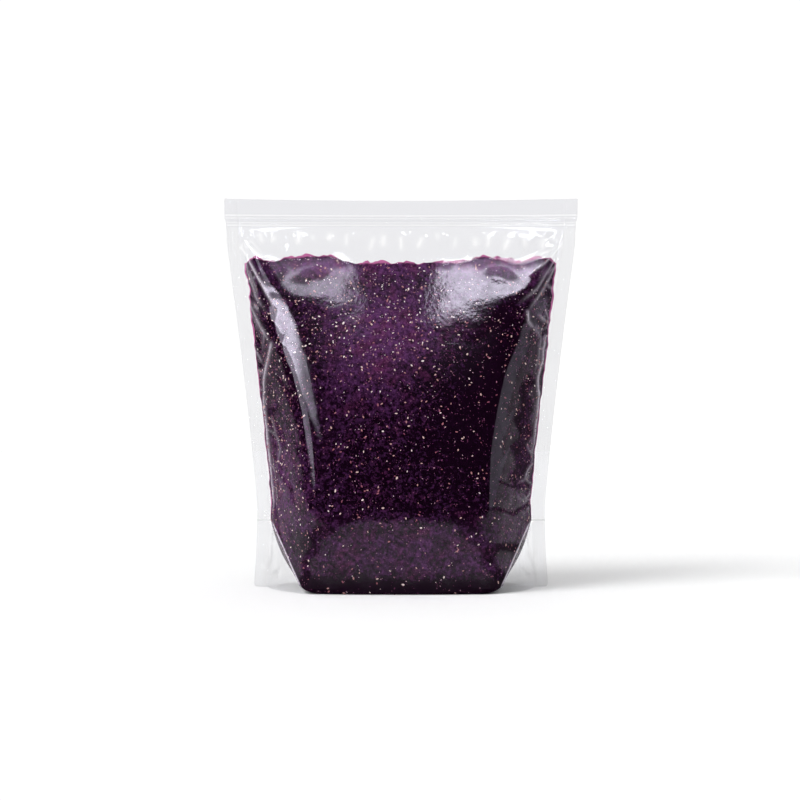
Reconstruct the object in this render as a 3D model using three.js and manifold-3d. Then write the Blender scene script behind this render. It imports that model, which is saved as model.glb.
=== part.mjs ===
// A clear stand-up pouch of fruit jam with a press-to-close strip, in millimetres, +Z up.
// The front faces -Y. The origin is on the floor, under the middle of the pouch.
import * as THREE from 'three';
import { mergeVertices } from 'three/addons/utils/BufferGeometryUtils.js';
import Module from 'manifold-3d';

// Driving dimensions of the film
const FLAT_WIDTH = 250; // the empty pouch laid flat, seal to seal
const SIDE_SEAL = 9.5; // width of the welded strip down each side
const HEIGHT = 275; // floor to the corners of the header
const TOP_DIP = 1.5; // how far the middle of the top edge sags
const HEADER_CORNER = 1; // rounded corners of the header
const LEG_CORNER = 3.5; // rounded outer corners of the legs
const WELD_THICKNESS = 0.8; // two films welded together
const WEB_OVERLAP = 1; // how far a leg's web runs into what it is welded to
const STEP_HEIGHT = 259.5; // where the side seals step in, beside the closing strip
const STEP_IN = 1.1; // how far they step in
const STEP_RUN = 14; // and how far below the strip the step has faded out

// Driving dimensions of the filled body
const GUSSET_HEIGHT = 47.4; // where the folded base meets the side seals
const BASE_HALF_DEPTH = 46.5; // from the middle out to the front bottom edge
const BELLY_HALF_DEPTH = 48.8; // at the fattest level
const BELLY_HEIGHT = 44; // the fattest level
const BELLY_TAPER = 1.733; // how late the belly thins towards the top
const TAPER_LENGTH = 219.6; // from the fattest level to where that curve would close
const SHOULDER_HEIGHT = 232; // above here the film runs straight up to the strip
const BODY_TOP = 254; // where the two films come together under the strip
const FRONT_BOW = 2.5; // how far the middle of the front stands out over its ridges
const RIDGE_ROUNDING = 7; // how much the ridges between front and sides are rounded off
const RIDGE_SHARE = 0.35; // and at most this share of the depth there
const RIDGE_RANGE = [0.2, 0.985]; // a ridge stands between these shares of the way to the seam
const SEAM_PULL = 6; // how late a side bends to end at its seam
const FILM_SLACK = 0.05; // loose film that a section may have left over
const WAIST_HEIGHT = 55; // where the full belly draws the side seals in the most
const WAIST_HALF_WIDTH = 101.8; // out to the edge of the seal there
const WAIST_SPREAD = 1.2; // how late the seals spread out again towards the top
const LEG_FLARE = 2.4; // how far the foot of a side seal splays out
const FOOT_HALF_WIDTH = 67; // front bottom corner of the jam, across
const FOOT_HALF_DEPTH = 41; // and front to back

// Driving dimensions of the press-to-close strip
const STRIP_HEIGHT = 7.2;
const STRIP_BOTTOM = 255.2;
const STRIP_THICKNESS = 1.2;
const RIB_RADIUS = 0.9;
const RIB_FLATNESS = 0.7; // rib depth against its half width
const RIB_PLACES = [0.25, 0.75]; // shares of the strip's height
const CLEARANCE = 0.35;

// Fineness of the faceting
const FRONT_STEPS = 5;
const RIDGE_STEPS = 6;
const SIDE_STEPS = 4;
const RIDGE_REACH = 8; // film on each side of a ridge that is faceted finely
const CURVE_POINTS = 240;
const FIT_STEPS = 26;
const RIB_STEPS = 6;
const LEVELS_LOW = 8;
const LEVELS_HIGH = 34;
const OUTLINE_STEPS = 26;
const CORNER_STEPS = 5;

const INNER_HALF = FLAT_WIDTH / 2 - SIDE_SEAL;
const HALF_WELD = WELD_THICKNESS / 2;
const FOOT_FLAT = INNER_HALF - GUSSET_HEIGHT; // half the front film's bottom edge
const HALF_STEPS = FRONT_STEPS + RIDGE_STEPS + SIDE_STEPS;
const SECTION_STEPS = 2 * HALF_STEPS;

// How far the front film stands out from the side seals, at a height
function bellyDepth(z) {
  if (z < BELLY_HEIGHT) {
    const below = 1 - z / BELLY_HEIGHT;
    return BELLY_HALF_DEPTH - (BELLY_HALF_DEPTH - BASE_HALF_DEPTH) * below * below;
  }
  const taper = (Math.min(z, SHOULDER_HEIGHT) - BELLY_HEIGHT) / TAPER_LENGTH;
  const depth = BELLY_HALF_DEPTH * (1 - taper ** BELLY_TAPER);
  const above = Math.max(z - SHOULDER_HEIGHT, 0) / (BODY_TOP - SHOULDER_HEIGHT);
  return THREE.MathUtils.lerp(depth, HALF_WELD, Math.min(above, 1));
}

// The outer edge of the side seals: drawn in at the waist, splayed at the feet and at the header
function outlineHalfWidth(z) {
  if (z < WAIST_HEIGHT) {
    return WAIST_HALF_WIDTH + LEG_FLARE * (1 - z / WAIST_HEIGHT) ** 2;
  }
  const up = Math.min((z - WAIST_HEIGHT) / (BODY_TOP - WAIST_HEIGHT), 1);
  return THREE.MathUtils.lerp(WAIST_HALF_WIDTH, FLAT_WIDTH / 2, up ** WAIST_SPREAD);
}

function sealHalfWidth(z) {
  return outlineHalfWidth(z) - SIDE_SEAL;
}

const GUSSET_HALF_WIDTH = sealHalfWidth(GUSSET_HEIGHT);

// The straight diagonal weld that runs from the side seal down to the foot
function gussetWeld(z) {
  const up = Math.min(z / GUSSET_HEIGHT, 1);
  return {
    x: THREE.MathUtils.lerp(FOOT_HALF_WIDTH, GUSSET_HALF_WIDTH, up),
    y: THREE.MathUtils.lerp(FOOT_HALF_DEPTH, HALF_WELD, up),
  };
}

function sectionEnd(z) {
  return z < GUSSET_HEIGHT ? gussetWeld(z) : { x: sealHalfWidth(z), y: HALF_WELD };
}

// The right half of the front film at a level, from the middle out to the seam, for a ridge at an x:
// an almost flat front, a rounded ridge, and a straight side
function halfSection(z, ridge) {
  const end = sectionEnd(z);
  const depth = Math.max(bellyDepth(z), end.y);
  const bow = Math.min(FRONT_BOW, (depth - end.y) / 2);
  const rounding = Math.min(RIDGE_ROUNDING, RIDGE_SHARE * (depth - end.y));
  const curve = [];
  for (let i = 0; i <= CURVE_POINTS; i += 1) {
    const x = (end.x * i) / CURVE_POINTS;
    const front = depth - bow * (x / ridge) ** 2;
    const side = end.y + ((depth - bow - end.y) * (end.x - x)) / (end.x - ridge);
    curve.push(new THREE.Vector2(x, (front + side - Math.hypot(front - side, rounding)) / 2));
  }
  const miss = end.y - curve[CURVE_POINTS].y;
  curve.forEach((point) => {
    point.y += miss * (point.x / end.x) ** SEAM_PULL;
  });
  return curve;
}

// Film from the middle to each point of a curve
function filmLengths(curve) {
  const lengths = [0];
  for (let i = 1; i < curve.length; i += 1) {
    lengths.push(lengths[i - 1] + curve[i].distanceTo(curve[i - 1]));
  }
  return lengths;
}

// The half section whose ridge stands where the film is just long enough to reach the seam
function fittedSection(z) {
  const film = Math.min(FOOT_FLAT + z, INNER_HALF) + FILM_SLACK;
  let low = RIDGE_RANGE[0] * sectionEnd(z).x;
  let high = RIDGE_RANGE[1] * sectionEnd(z).x;
  for (let i = 0; i < FIT_STEPS; i += 1) {
    const ridge = (low + high) / 2;
    if (filmLengths(halfSection(z, ridge)).at(-1) < film) {
      low = ridge;
    } else {
      high = ridge;
    }
  }
  const ridge = (low + high) / 2;
  return { ridge, curve: halfSection(z, ridge) };
}

function pointAlong(curve, lengths, length) {
  const next = Math.max(lengths.findIndex((reach) => reach >= length), 1);
  const share = (length - lengths[next - 1]) / (lengths[next] - lengths[next - 1]);
  return curve[next - 1].clone().lerp(curve[next], share);
}

// The half section in a few points: evenly over the front, finely over the ridge, evenly over the side
function facetedSection(z) {
  const { ridge, curve } = fittedSection(z);
  const lengths = filmLengths(curve);
  const total = lengths.at(-1);
  const reach = Math.min(RIDGE_REACH, (total - ridge) / 2);
  const stops = [0, ridge - reach, ridge + reach, total];
  const points = [];
  [FRONT_STEPS, RIDGE_STEPS, SIDE_STEPS].forEach((steps, part) => {
    for (let i = 0; i < steps; i += 1) {
      const length = THREE.MathUtils.lerp(stops[part], stops[part + 1], i / steps);
      points.push(pointAlong(curve, lengths, length));
    }
  });
  points.push(curve.at(-1));
  return points;
}

// One level of the body: the front film from left to right, then the back film
function sectionRing(z) {
  const right = facetedSection(z);
  const left = right.slice(1).reverse().map((p) => new THREE.Vector2(-p.x, p.y));
  const front = [...left, ...right];
  return [-1, 1].flatMap((side) => front.map((p) => new THREE.Vector3(p.x, side * p.y, z)));
}

function bodyLevels() {
  const levels = [];
  for (let i = 0; i < LEVELS_LOW; i += 1) {
    levels.push((GUSSET_HEIGHT * i) / LEVELS_LOW);
  }
  for (let i = 0; i <= LEVELS_HIGH; i += 1) {
    levels.push(GUSSET_HEIGHT + ((BODY_TOP - GUSSET_HEIGHT) * i) / LEVELS_HIGH);
  }
  return levels;
}

function meshFrom(points, faces) {
  const geometry = new THREE.BufferGeometry();
  geometry.setAttribute('position', new THREE.Float32BufferAttribute(points.flatMap((p) => p.toArray()), 3));
  geometry.setIndex(faces.flat());
  return geometry;
}

// The jam-filled body: a skin over the levels, closed at the floor and under the strip
function bodyGeometry() {
  const levels = bodyLevels();
  const points = levels.flatMap(sectionRing);
  const row = SECTION_STEPS + 1;
  const ring = 2 * row;
  const faces = [];
  const quad = (a, b, c, d) => faces.push([a, b, c], [a, c, d]);
  for (let level = 0; level < levels.length - 1; level += 1) {
    const low = level * ring;
    const high = low + ring;
    for (let i = 0; i < SECTION_STEPS; i += 1) {
      quad(low + i, low + i + 1, high + i + 1, high + i);
      quad(low + row + i + 1, low + row + i, high + row + i, high + row + i + 1);
    }
    quad(low + row, low, high, high + row);
    quad(low + row - 1, low + ring - 1, high + ring - 1, high + row - 1);
  }
  const top = (levels.length - 1) * ring;
  for (let i = 0; i < SECTION_STEPS; i += 1) {
    quad(i, row + i, row + i + 1, i + 1);
    quad(top + i, top + i + 1, top + row + i + 1, top + row + i);
  }
  return meshFrom(points, faces);
}

function topEdge(x) {
  const across = (2 * x) / FLAT_WIDTH;
  return HEIGHT - TOP_DIP * (1 - across * across);
}

function cornerArc(x, z, radius, from, to) {
  return new THREE.EllipseCurve(x, z, radius, radius, from, to).getPoints(CORNER_STEPS);
}

// The right edge of the weld, from the foot of the leg up to the top corner
function rightEdge() {
  const leg = outlineHalfWidth(LEG_CORNER);
  const header = FLAT_WIDTH / 2;
  const points = cornerArc(leg - LEG_CORNER, LEG_CORNER, LEG_CORNER, -Math.PI / 2, 0);
  for (let i = 1; i <= OUTLINE_STEPS; i += 1) {
    const z = THREE.MathUtils.lerp(LEG_CORNER, STEP_HEIGHT, i / OUTLINE_STEPS);
    const stepIn = STEP_IN * THREE.MathUtils.smoothstep(z, BODY_TOP - STEP_RUN, BODY_TOP);
    points.push(new THREE.Vector2(outlineHalfWidth(z) - stepIn, z));
  }
  points.push(new THREE.Vector2(header, STEP_HEIGHT + STEP_IN));
  points.push(...cornerArc(header - HEADER_CORNER, HEIGHT - HEADER_CORNER, HEADER_CORNER, 0, Math.PI / 2));
  return points;
}

// The flat weld, seen from the front: both side seals down to the floor, and the header across
function weldOutline() {
  const right = rightEdge();
  const left = right.map((p) => new THREE.Vector2(-p.x, p.y)).reverse();
  const reach = FLAT_WIDTH / 2 - 2 * HEADER_CORNER;
  const top = [];
  for (let i = 0; i <= OUTLINE_STEPS; i += 1) {
    const x = THREE.MathUtils.lerp(reach, -reach, i / OUTLINE_STEPS);
    top.push(new THREE.Vector2(x, topEdge(x)));
  }
  const arch = [
    new THREE.Vector2(-GUSSET_HALF_WIDTH, 0),
    new THREE.Vector2(-GUSSET_HALF_WIDTH, GUSSET_HEIGHT),
    new THREE.Vector2(GUSSET_HALF_WIDTH, GUSSET_HEIGHT),
    new THREE.Vector2(GUSSET_HALF_WIDTH, 0),
  ];
  return [...right, ...top, ...left, ...arch];
}

// The slot in the weld that the closing strip sits in
function stripSlot() {
  const half = INNER_HALF + CLEARANCE;
  const low = STRIP_BOTTOM - CLEARANCE;
  const high = STRIP_BOTTOM + STRIP_HEIGHT + CLEARANCE;
  return new THREE.Path([
    new THREE.Vector2(-half, low),
    new THREE.Vector2(-half, high),
    new THREE.Vector2(half, high),
    new THREE.Vector2(half, low),
  ]);
}

function weldGeometry() {
  const shape = new THREE.Shape(weldOutline());
  shape.holes.push(stripSlot());
  const plate = new THREE.ExtrudeGeometry(shape, { depth: WELD_THICKNESS, bevelEnabled: false });
  plate.translate(0, 0, -HALF_WELD);
  plate.rotateX(Math.PI / 2);
  return plate;
}

// A leg's web: the film from the diagonal weld out to the side seal, as a thin plate
function webGeometry(side, face) {
  const corners = [
    new THREE.Vector3(side * (GUSSET_HALF_WIDTH - WEB_OVERLAP), 0, GUSSET_HEIGHT + WEB_OVERLAP),
    new THREE.Vector3(side * (FOOT_HALF_WIDTH - WEB_OVERLAP), face * FOOT_HALF_DEPTH, 0),
    new THREE.Vector3(side * (GUSSET_HALF_WIDTH + WEB_OVERLAP), 0, 0),
    new THREE.Vector3(side * (GUSSET_HALF_WIDTH + WEB_OVERLAP), 0, GUSSET_HEIGHT),
  ];
  const [top, foot, corner] = corners;
  const offset = foot.clone().sub(top).cross(corner.clone().sub(top)).setZ(0).setLength(HALF_WELD);
  const near = corners.map((p) => p.clone().add(offset));
  const far = corners.map((p) => p.clone().sub(offset));
  const faces = [[0, 1, 2], [0, 2, 3], [6, 5, 4], [7, 6, 4]];
  const count = corners.length;
  for (let i = 0; i < count; i += 1) {
    const next = (i + 1) % count;
    faces.push([i, i + count, next + count], [i, next + count, next]);
  }
  return meshFrom([...near, ...far], faces);
}

// The closing strip's section: a flat web with two round ribs on each face
function stripSection() {
  const half = STRIP_THICKNESS / 2;
  const face = [new THREE.Vector2(half, 0)];
  for (const place of RIB_PLACES) {
    for (let i = 0; i <= RIB_STEPS; i += 1) {
      const angle = -Math.PI / 2 + (Math.PI * i) / RIB_STEPS;
      const out = half + RIB_RADIUS * RIB_FLATNESS * Math.cos(angle);
      face.push(new THREE.Vector2(out, STRIP_HEIGHT * place + RIB_RADIUS * Math.sin(angle)));
    }
  }
  face.push(new THREE.Vector2(half, STRIP_HEIGHT));
  const other = face.map((p) => new THREE.Vector2(-p.x, p.y)).reverse();
  return new THREE.Shape([...face, ...other]);
}

function stripGeometry() {
  const strip = new THREE.ExtrudeGeometry(stripSection(), { depth: 2 * INNER_HALF, bevelEnabled: false });
  strip.translate(0, 0, -INNER_HALF);
  strip.rotateX(Math.PI / 2);
  strip.rotateZ(Math.PI / 2);
  strip.translate(0, 0, STRIP_BOTTOM);
  return strip;
}

const wasm = await Module();
wasm.setup();

function toSolid(geometry) {
  const bare = geometry.clone();
  bare.deleteAttribute('normal');
  bare.deleteAttribute('uv');
  const merged = mergeVertices(bare);
  return new wasm.Manifold(new wasm.Mesh({
    numProp: 3,
    vertProperties: new Float32Array(merged.attributes.position.array),
    triVerts: new Uint32Array(merged.index.array),
  }));
}

function toGeometry(solid) {
  const mesh = solid.getMesh();
  const geometry = new THREE.BufferGeometry();
  geometry.setAttribute('position', new THREE.BufferAttribute(mesh.vertProperties, 3));
  geometry.setIndex(new THREE.BufferAttribute(mesh.triVerts, 1));
  geometry.computeVertexNormals();
  return geometry;
}

// Film, seals, legs and jam are one piece: a sealed pouch that nothing comes out of
function pouchGeometry() {
  let pouch = toSolid(bodyGeometry()).add(toSolid(weldGeometry()));
  for (const side of [-1, 1]) {
    for (const face of [-1, 1]) {
      const web = toSolid(webGeometry(side, face));
      pouch = pouch.add(web);
    }
  }
  return toGeometry(pouch);
}

const jamAndFilm = new THREE.MeshStandardMaterial({ color: 0x2d1033, roughness: 0.25, metalness: 0 });
const clearPlastic = new THREE.MeshStandardMaterial({ color: 0xe8e8ea, roughness: 0.2, metalness: 0 });

function namedMesh(name, geometry, material) {
  const mesh = new THREE.Mesh(geometry, material);
  mesh.name = name;
  return mesh;
}

const group = new THREE.Group();
group.add(namedMesh('pouch', pouchGeometry(), jamAndFilm));
group.add(namedMesh('zip_strip', stripGeometry(), clearPlastic));

export default group;
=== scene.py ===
"""A clear stand-up pouch of bramble jam: film, closing strip, jam and seeds.

The two film panels start as their flat cut. Their welded lines are carried to where they stand on
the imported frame, and pressure fills the film between them. The jam takes its skin from that film.
"""

import math

import bpy
import numpy as np
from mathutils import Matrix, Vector


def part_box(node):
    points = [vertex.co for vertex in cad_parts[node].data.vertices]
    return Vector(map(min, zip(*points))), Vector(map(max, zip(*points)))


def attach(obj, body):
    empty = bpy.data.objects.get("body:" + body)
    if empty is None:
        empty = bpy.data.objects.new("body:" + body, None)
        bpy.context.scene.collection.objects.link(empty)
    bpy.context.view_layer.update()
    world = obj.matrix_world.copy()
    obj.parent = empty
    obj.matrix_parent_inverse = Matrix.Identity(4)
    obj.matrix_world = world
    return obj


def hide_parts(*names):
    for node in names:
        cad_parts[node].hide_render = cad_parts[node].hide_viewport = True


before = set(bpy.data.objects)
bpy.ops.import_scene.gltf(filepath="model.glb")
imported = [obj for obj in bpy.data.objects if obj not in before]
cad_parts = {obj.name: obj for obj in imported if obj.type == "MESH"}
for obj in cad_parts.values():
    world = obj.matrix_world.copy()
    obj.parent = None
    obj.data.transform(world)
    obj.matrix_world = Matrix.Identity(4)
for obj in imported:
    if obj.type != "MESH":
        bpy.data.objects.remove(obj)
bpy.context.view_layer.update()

bl_info = {
    "name": "Jam Pouch",
    "version": (1, 0, 0),
    "blender": (4, 5, 0),
    "location": "View3D > Sidebar > Jam Pouch",
    "description": "Fills a clear stand-up pouch with bramble jam",
    "category": "Object",
}

MM = 0.001
POUCH_LOW, POUCH_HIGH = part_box("pouch")
STRIP_LOW, STRIP_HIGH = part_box("zip_strip")

# The film's flat cut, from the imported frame
HALF_WIDTH = POUCH_HIGH[0]
HEIGHT = POUCH_HIGH[2]
INNER_HALF = STRIP_HIGH[0]
SIDE_SEAL = HALF_WIDTH - INNER_HALF
BODY_TOP = STRIP_LOW[2]
COLUMNS_TO_SEAL = 39
CUT_STEP = INNER_HALF / COLUMNS_TO_SEAL
SEAL_COLUMNS = 3
FINE = 4
GUSSET_ROWS = 16
BODY_ROWS = 88
HEADER_ROWS = 7
GUSSET_HEIGHT = GUSSET_ROWS * CUT_STEP
FOOT_FLAT = INNER_HALF - GUSSET_HEIGHT
BODY_LENGTH = 259.6 * MM
HEADER_LENGTH = HEIGHT - BODY_TOP
STRIP_LENGTH = STRIP_HIGH[2] - STRIP_LOW[2]

# Where the welded lines stand once the pouch is full
WAIST_HEIGHT = 55 * MM
WAIST_HALF = 101.8 * MM
WAIST_SPREAD = 1.2
LEG_FLARE = 2.4 * MM
BASE_HALF_DEPTH = 46.5 * MM
FOOT_HALF_WIDTH = 67 * MM
FOOT_HALF_DEPTH = 41 * MM
BASE_EDGE_ROUND = 2.4
WEB_SWELL = 5 * MM
WEB_SWELL_WAY = (0.85, -0.5)
TOP_DIP = 1.5 * MM
LEG_CORNER = 3.5 * MM
NOTCH_DEPTH = 1.1 * MM
SEAM_WAVE = 0.5 * MM
BELLY_DEPTH = 48.8 * MM
BELLY_HEIGHT = 44 * MM
BELLY_TAPER = 1.733
BELLY_TAPER_LENGTH = 219.6 * MM
BELLY_SINK = 14 * MM
BELLY_SINK_TOP = 2.4 * BELLY_HEIGHT
SHOULDER_HEIGHT = 232 * MM
FRONT_BOW = 2.5 * MM
RIDGE_ROUND = 7 * MM
SHARP_RIDGE = 2.5 * MM
SHARPENS = (190 * MM, 215 * MM)
SOFT_RIDGE = 7 * MM
SOFT_RIDGE_HEIGHT = 183 * MM
SOFT_RIDGE_REACH = 22 * MM
SECTION_POINTS = 400
FIT_STEPS = 30
SEAM_WAVE_LENGTH = 62 * MM
WELD_GAP = 0.16 * MM
STRIP_RISE = 0.5 * MM
FLOOR_GAP = 0.35 * MM
BASE_LIFT = 0.17 * MM
JAM_SUNK = 0.1 * MM
JAM_LIFT = 0.3 * MM
FACET_SWELL = 4 * MM
FACET_SWELL_WAY = (0.87, -0.5)
CORNER_LIFT = 5 * MM
CORNER_RUN = 14 * MM
SHARP_ANGLE = math.radians(50)


# ---------------------------------------------------------------- small tools

def smooth(value, low, high):
    """0 below low, 1 above high, and an even slope between"""
    t = np.clip((value - low) / (high - low), 0, 1)
    return t * t * (3 - 2 * t)


def band(value, low, full_from, full_to, high):
    """1 between the two middle limits, and an even slope down to 0 at the outer ones"""
    return smooth(value, low, full_from) * (1 - smooth(value, full_to, high))


def only(obj):
    """Selects this object alone"""
    bpy.ops.object.select_all(action="DESELECT")
    obj.select_set(True)
    bpy.context.view_layer.objects.active = obj


def read(items, field, width=3, kind=np.float32):
    """What a mesh stores for each of its points, corners or faces: a single value, or several"""
    values = np.empty(len(items) * width, dtype=kind)
    items.foreach_get(field, values)
    return values.reshape(-1, width) if width > 1 else values


def place(obj, points):
    """Moves each of a mesh's points to its place"""
    obj.data.vertices.foreach_set("co", np.asarray(points, dtype=np.float32).ravel())
    obj.data.update()


def read_points(mesh):
    return read(mesh.vertices, "co").astype(float)


def new_sheet(name, points):
    """A sheet of faces over rows of points"""
    rows, columns = points.shape[:2]
    bpy.ops.object.select_all(action="DESELECT")
    bpy.ops.mesh.primitive_grid_add(x_subdivisions=columns - 1, y_subdivisions=rows - 1, size=1)
    sheet = bpy.context.object
    sheet.name = name
    sheet.data.name = name
    place(sheet, points)
    return sheet


def flip(obj):
    only(obj)
    bpy.ops.object.mode_set(mode="EDIT")
    bpy.ops.mesh.select_all(action="SELECT")
    bpy.ops.mesh.flip_normals()
    bpy.ops.object.mode_set(mode="OBJECT")


def join(objects, name):
    """Makes one object of several"""
    only(objects[0])
    for obj in objects:
        obj.select_set(True)
    bpy.ops.object.join()
    joined = bpy.context.object
    joined.name = name
    joined.data.name = name
    return joined


def weld(obj, distance):
    """Merges points that meet, and turns all faces outwards"""
    only(obj)
    bpy.ops.object.mode_set(mode="EDIT")
    bpy.ops.mesh.select_all(action="SELECT")
    bpy.ops.mesh.remove_doubles(threshold=distance)
    bpy.ops.mesh.normals_make_consistent(inside=False)
    bpy.ops.object.mode_set(mode="OBJECT")


def apply_modifier(obj, kind, **settings):
    only(obj)
    modifier = obj.modifiers.new(kind.title(), kind)
    for key, value in settings.items():
        setattr(modifier, key, value)
    bpy.ops.object.modifier_apply(modifier=modifier.name)


def shade_smooth(obj):
    only(obj)
    bpy.ops.object.shade_smooth()


def smooth_faces(obj):
    """Smooths all but sharp edges"""
    only(obj)
    bpy.ops.object.shade_smooth_by_angle(angle=SHARP_ANGLE)


def paint(obj, name, values, kind="FLOAT"):
    """Stores one number, or one direction, for each point of a mesh"""
    layer = obj.data.attributes.new(name, kind, "POINT")
    field = "vector" if kind == "FLOAT_VECTOR" else "value"
    layer.data.foreach_set(field, np.asarray(values, dtype=np.float32).ravel())


def face_as_painted(obj, name):
    """Shades each point along its painted direction, where it has one, so that it shines like the film"""
    mesh = obj.data
    facing = read(mesh.attributes[name].data, "vector")
    given = np.linalg.norm(facing, axis=1, keepdims=True)
    normals = np.where(given > 0.5, facing / np.maximum(given, 1e-6), read(mesh.vertex_normals, "vector"))
    mesh.attributes.remove(mesh.attributes[name])
    mesh.normals_split_custom_set_from_vertices(normals)


def set_uv(obj, flat):
    """Lays the piece's own flat cut down as its UV map, in metres"""
    mesh = obj.data
    layer = mesh.uv_layers[0] if mesh.uv_layers else mesh.uv_layers.new(name="UVMap")
    corners = read(mesh.loops, "vertex_index", 1, np.int32)
    layer.data.foreach_set("uv", np.asarray(flat, dtype=np.float32).reshape(-1, 2)[corners].ravel())


def finish_piece(obj, material, slot, *nodes):
    """Gives a finished piece its material and its body, and hides the imported parts that it stands for"""
    obj.data.materials.clear()
    obj.data.materials.append(material)
    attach(obj, "root")
    if nodes:
        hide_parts(*nodes)


# ---------------------------------------------------------------- materials

class Wire:
    """A value on its way through a material's nodes"""

    def __init__(self, finish, socket):
        self.finish = finish
        self.socket = socket

    def math(self, operation, first, second=0.0):
        return self.finish.node("ShaderNodeMath", {"operation": operation}, {0: first, 1: second})

    def __add__(self, other):
        return self.math("ADD", self, other)

    def __radd__(self, other):
        return self.math("ADD", other, self)

    def __sub__(self, other):
        return self.math("SUBTRACT", self, other)

    def __rsub__(self, other):
        return self.math("SUBTRACT", other, self)

    def __mul__(self, other):
        return self.math("MULTIPLY", self, other)

    def __rmul__(self, other):
        return self.math("MULTIPLY", other, self)


CLEAR_MIRROR = 0.008
SKIN_MIRROR = 0.024


class Finish:
    """A material, or the room around the pouch, under construction"""

    def __init__(self, name, owner=None):
        self.owner = owner or bpy.data.materials.new(name)
        self.owner.use_nodes = True
        self.tree = self.owner.node_tree
        self.tree.nodes.clear()

    def node(self, kind, settings=None, inputs=None, output=0):
        """Adds a node, sets it up, feeds it, and gives back one of its outputs"""
        node = self.tree.nodes.new(kind)
        for key, value in (settings or {}).items():
            if key == "stops":
                self.set_stops(node.color_ramp, value)
            else:
                setattr(node, key, value)
        for key, value in (inputs or {}).items():
            socket = node.inputs[key]
            if isinstance(value, Wire):
                self.tree.links.new(value.socket, socket)
            else:
                socket.default_value = value
        return Wire(self, node.outputs[output]) if node.outputs else None

    @staticmethod
    def set_stops(ramp, stops):
        while len(ramp.elements) < len(stops):
            ramp.elements.new(1.0)
        for element, (position, colour) in zip(ramp.elements, stops):
            element.position = position
            element.color = colour

    def attribute(self, name):
        return self.node("ShaderNodeAttribute", {"attribute_name": name}, output="Fac")

    def object_place(self):
        return self.node("ShaderNodeTexCoord", output="Object")

    def noise(self, place, scale, detail=2.0, roughness=0.5):
        return self.node(
            "ShaderNodeTexNoise", {},
            {"Vector": place, "Scale": scale, "Detail": detail, "Roughness": roughness})

    def ramp(self, value, stops):
        return self.node("ShaderNodeValToRGB", {"stops": stops}, {"Fac": value})

    def steps(self, value, *levels):
        """A grey ramp through pairs of a place and a level"""
        return self.ramp(value, [(place, grey(level)) for place, level in levels])

    def mix(self, factor, first, second):
        return self.node(
            "ShaderNodeMix", {"data_type": "RGBA"}, {0: factor, 6: first, 7: second}, output=2)

    def mirror_share(self, head_on, normal=None):
        """How much a smooth face mirrors: little head on, and all at a graze"""
        inputs = {"Blend": 0.5}
        if normal:
            inputs["Normal"] = normal
        graze = self.node("ShaderNodeLayerWeight", {}, inputs, output="Facing")
        return graze.math("POWER", graze, 5.0) * (1 - head_on) + head_on

    def clear(self, colour):
        return self.node("ShaderNodeBsdfTransparent", {}, {"Color": colour})

    def gloss(self, colour, roughness, normal=None):
        inputs = {"Color": colour, "Roughness": roughness}
        if normal:
            inputs["Normal"] = normal
        return self.node("ShaderNodeBsdfAnisotropic", {}, inputs)

    def blend(self, share, first, second):
        """Two shaders, with this share of the second"""
        return self.node("ShaderNodeMixShader", {}, {0: share, 1: first, 2: second})

    def bump(self, height, distance, strength=1.0):
        return self.node(
            "ShaderNodeBump", {}, {"Height": height, "Distance": distance, "Strength": strength})

    def within(self, value, low, high, soft):
        """1 between two values, 0 outside them, with soft edges"""
        edges = []
        for edge in (low, high):
            edges.append(self.node(
                "ShaderNodeMapRange", {"interpolation_type": "SMOOTHSTEP"},
                {"Value": value, "From Min": edge - soft, "From Max": edge + soft}))
        return edges[0] - edges[1]

    def finish(self, shader):
        kind = "World" if isinstance(self.owner, bpy.types.World) else "Material"
        self.node(f"ShaderNodeOutput{kind}", {}, {"Surface": shader})
        return self.owner


def grey(value):
    return (value, value, value, 1)


def opaque(colour):
    return (*colour, 1)


# ---------------------------------------------------------------- sizes and colours a user would change

class FilmSettings(bpy.types.PropertyGroup):
    """The clear film and how full it is"""

    thickness: bpy.props.FloatProperty(
        name="Wall", description="Thickness of one film, a little over life so that jam and seeds sit in it",
        default=0.3 * MM, unit="LENGTH")
    fill_height: bpy.props.FloatProperty(
        name="Fill height", description="Floor to the top of the jam", default=228.6 * MM, unit="LENGTH")
    pressure: bpy.props.FloatProperty(
        name="Pressure", description="How hard the jam pushes the film out", default=3.0)
    stiffness: bpy.props.FloatProperty(
        name="Stiffness", description="How little the film stretches", default=600.0)
    bending: bpy.props.FloatProperty(
        name="Bending", description="How broadly the film folds", default=8.0)
    guide: bpy.props.FloatProperty(
        name="Guide", description="How firmly the film keeps to its full shape", default=0.2)
    tint: bpy.props.FloatVectorProperty(
        name="Tint", description="What one face of the film lets through", default=(0.961, 0.961, 0.965),
        subtype="COLOR")
    # Painted shade: this darker tint is laid on the film where shade is painted, in the legs and beside the
    # top corners
    fold: bpy.props.FloatVectorProperty(
        name="Fold", description="What one face of the film lets through where it is folded",
        default=(0.915, 0.915, 0.92), subtype="COLOR")
    header_tint: bpy.props.FloatVectorProperty(
        name="Header tint", description="What one face of the header lets through",
        default=(0.95, 0.95, 0.957), subtype="COLOR")


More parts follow.
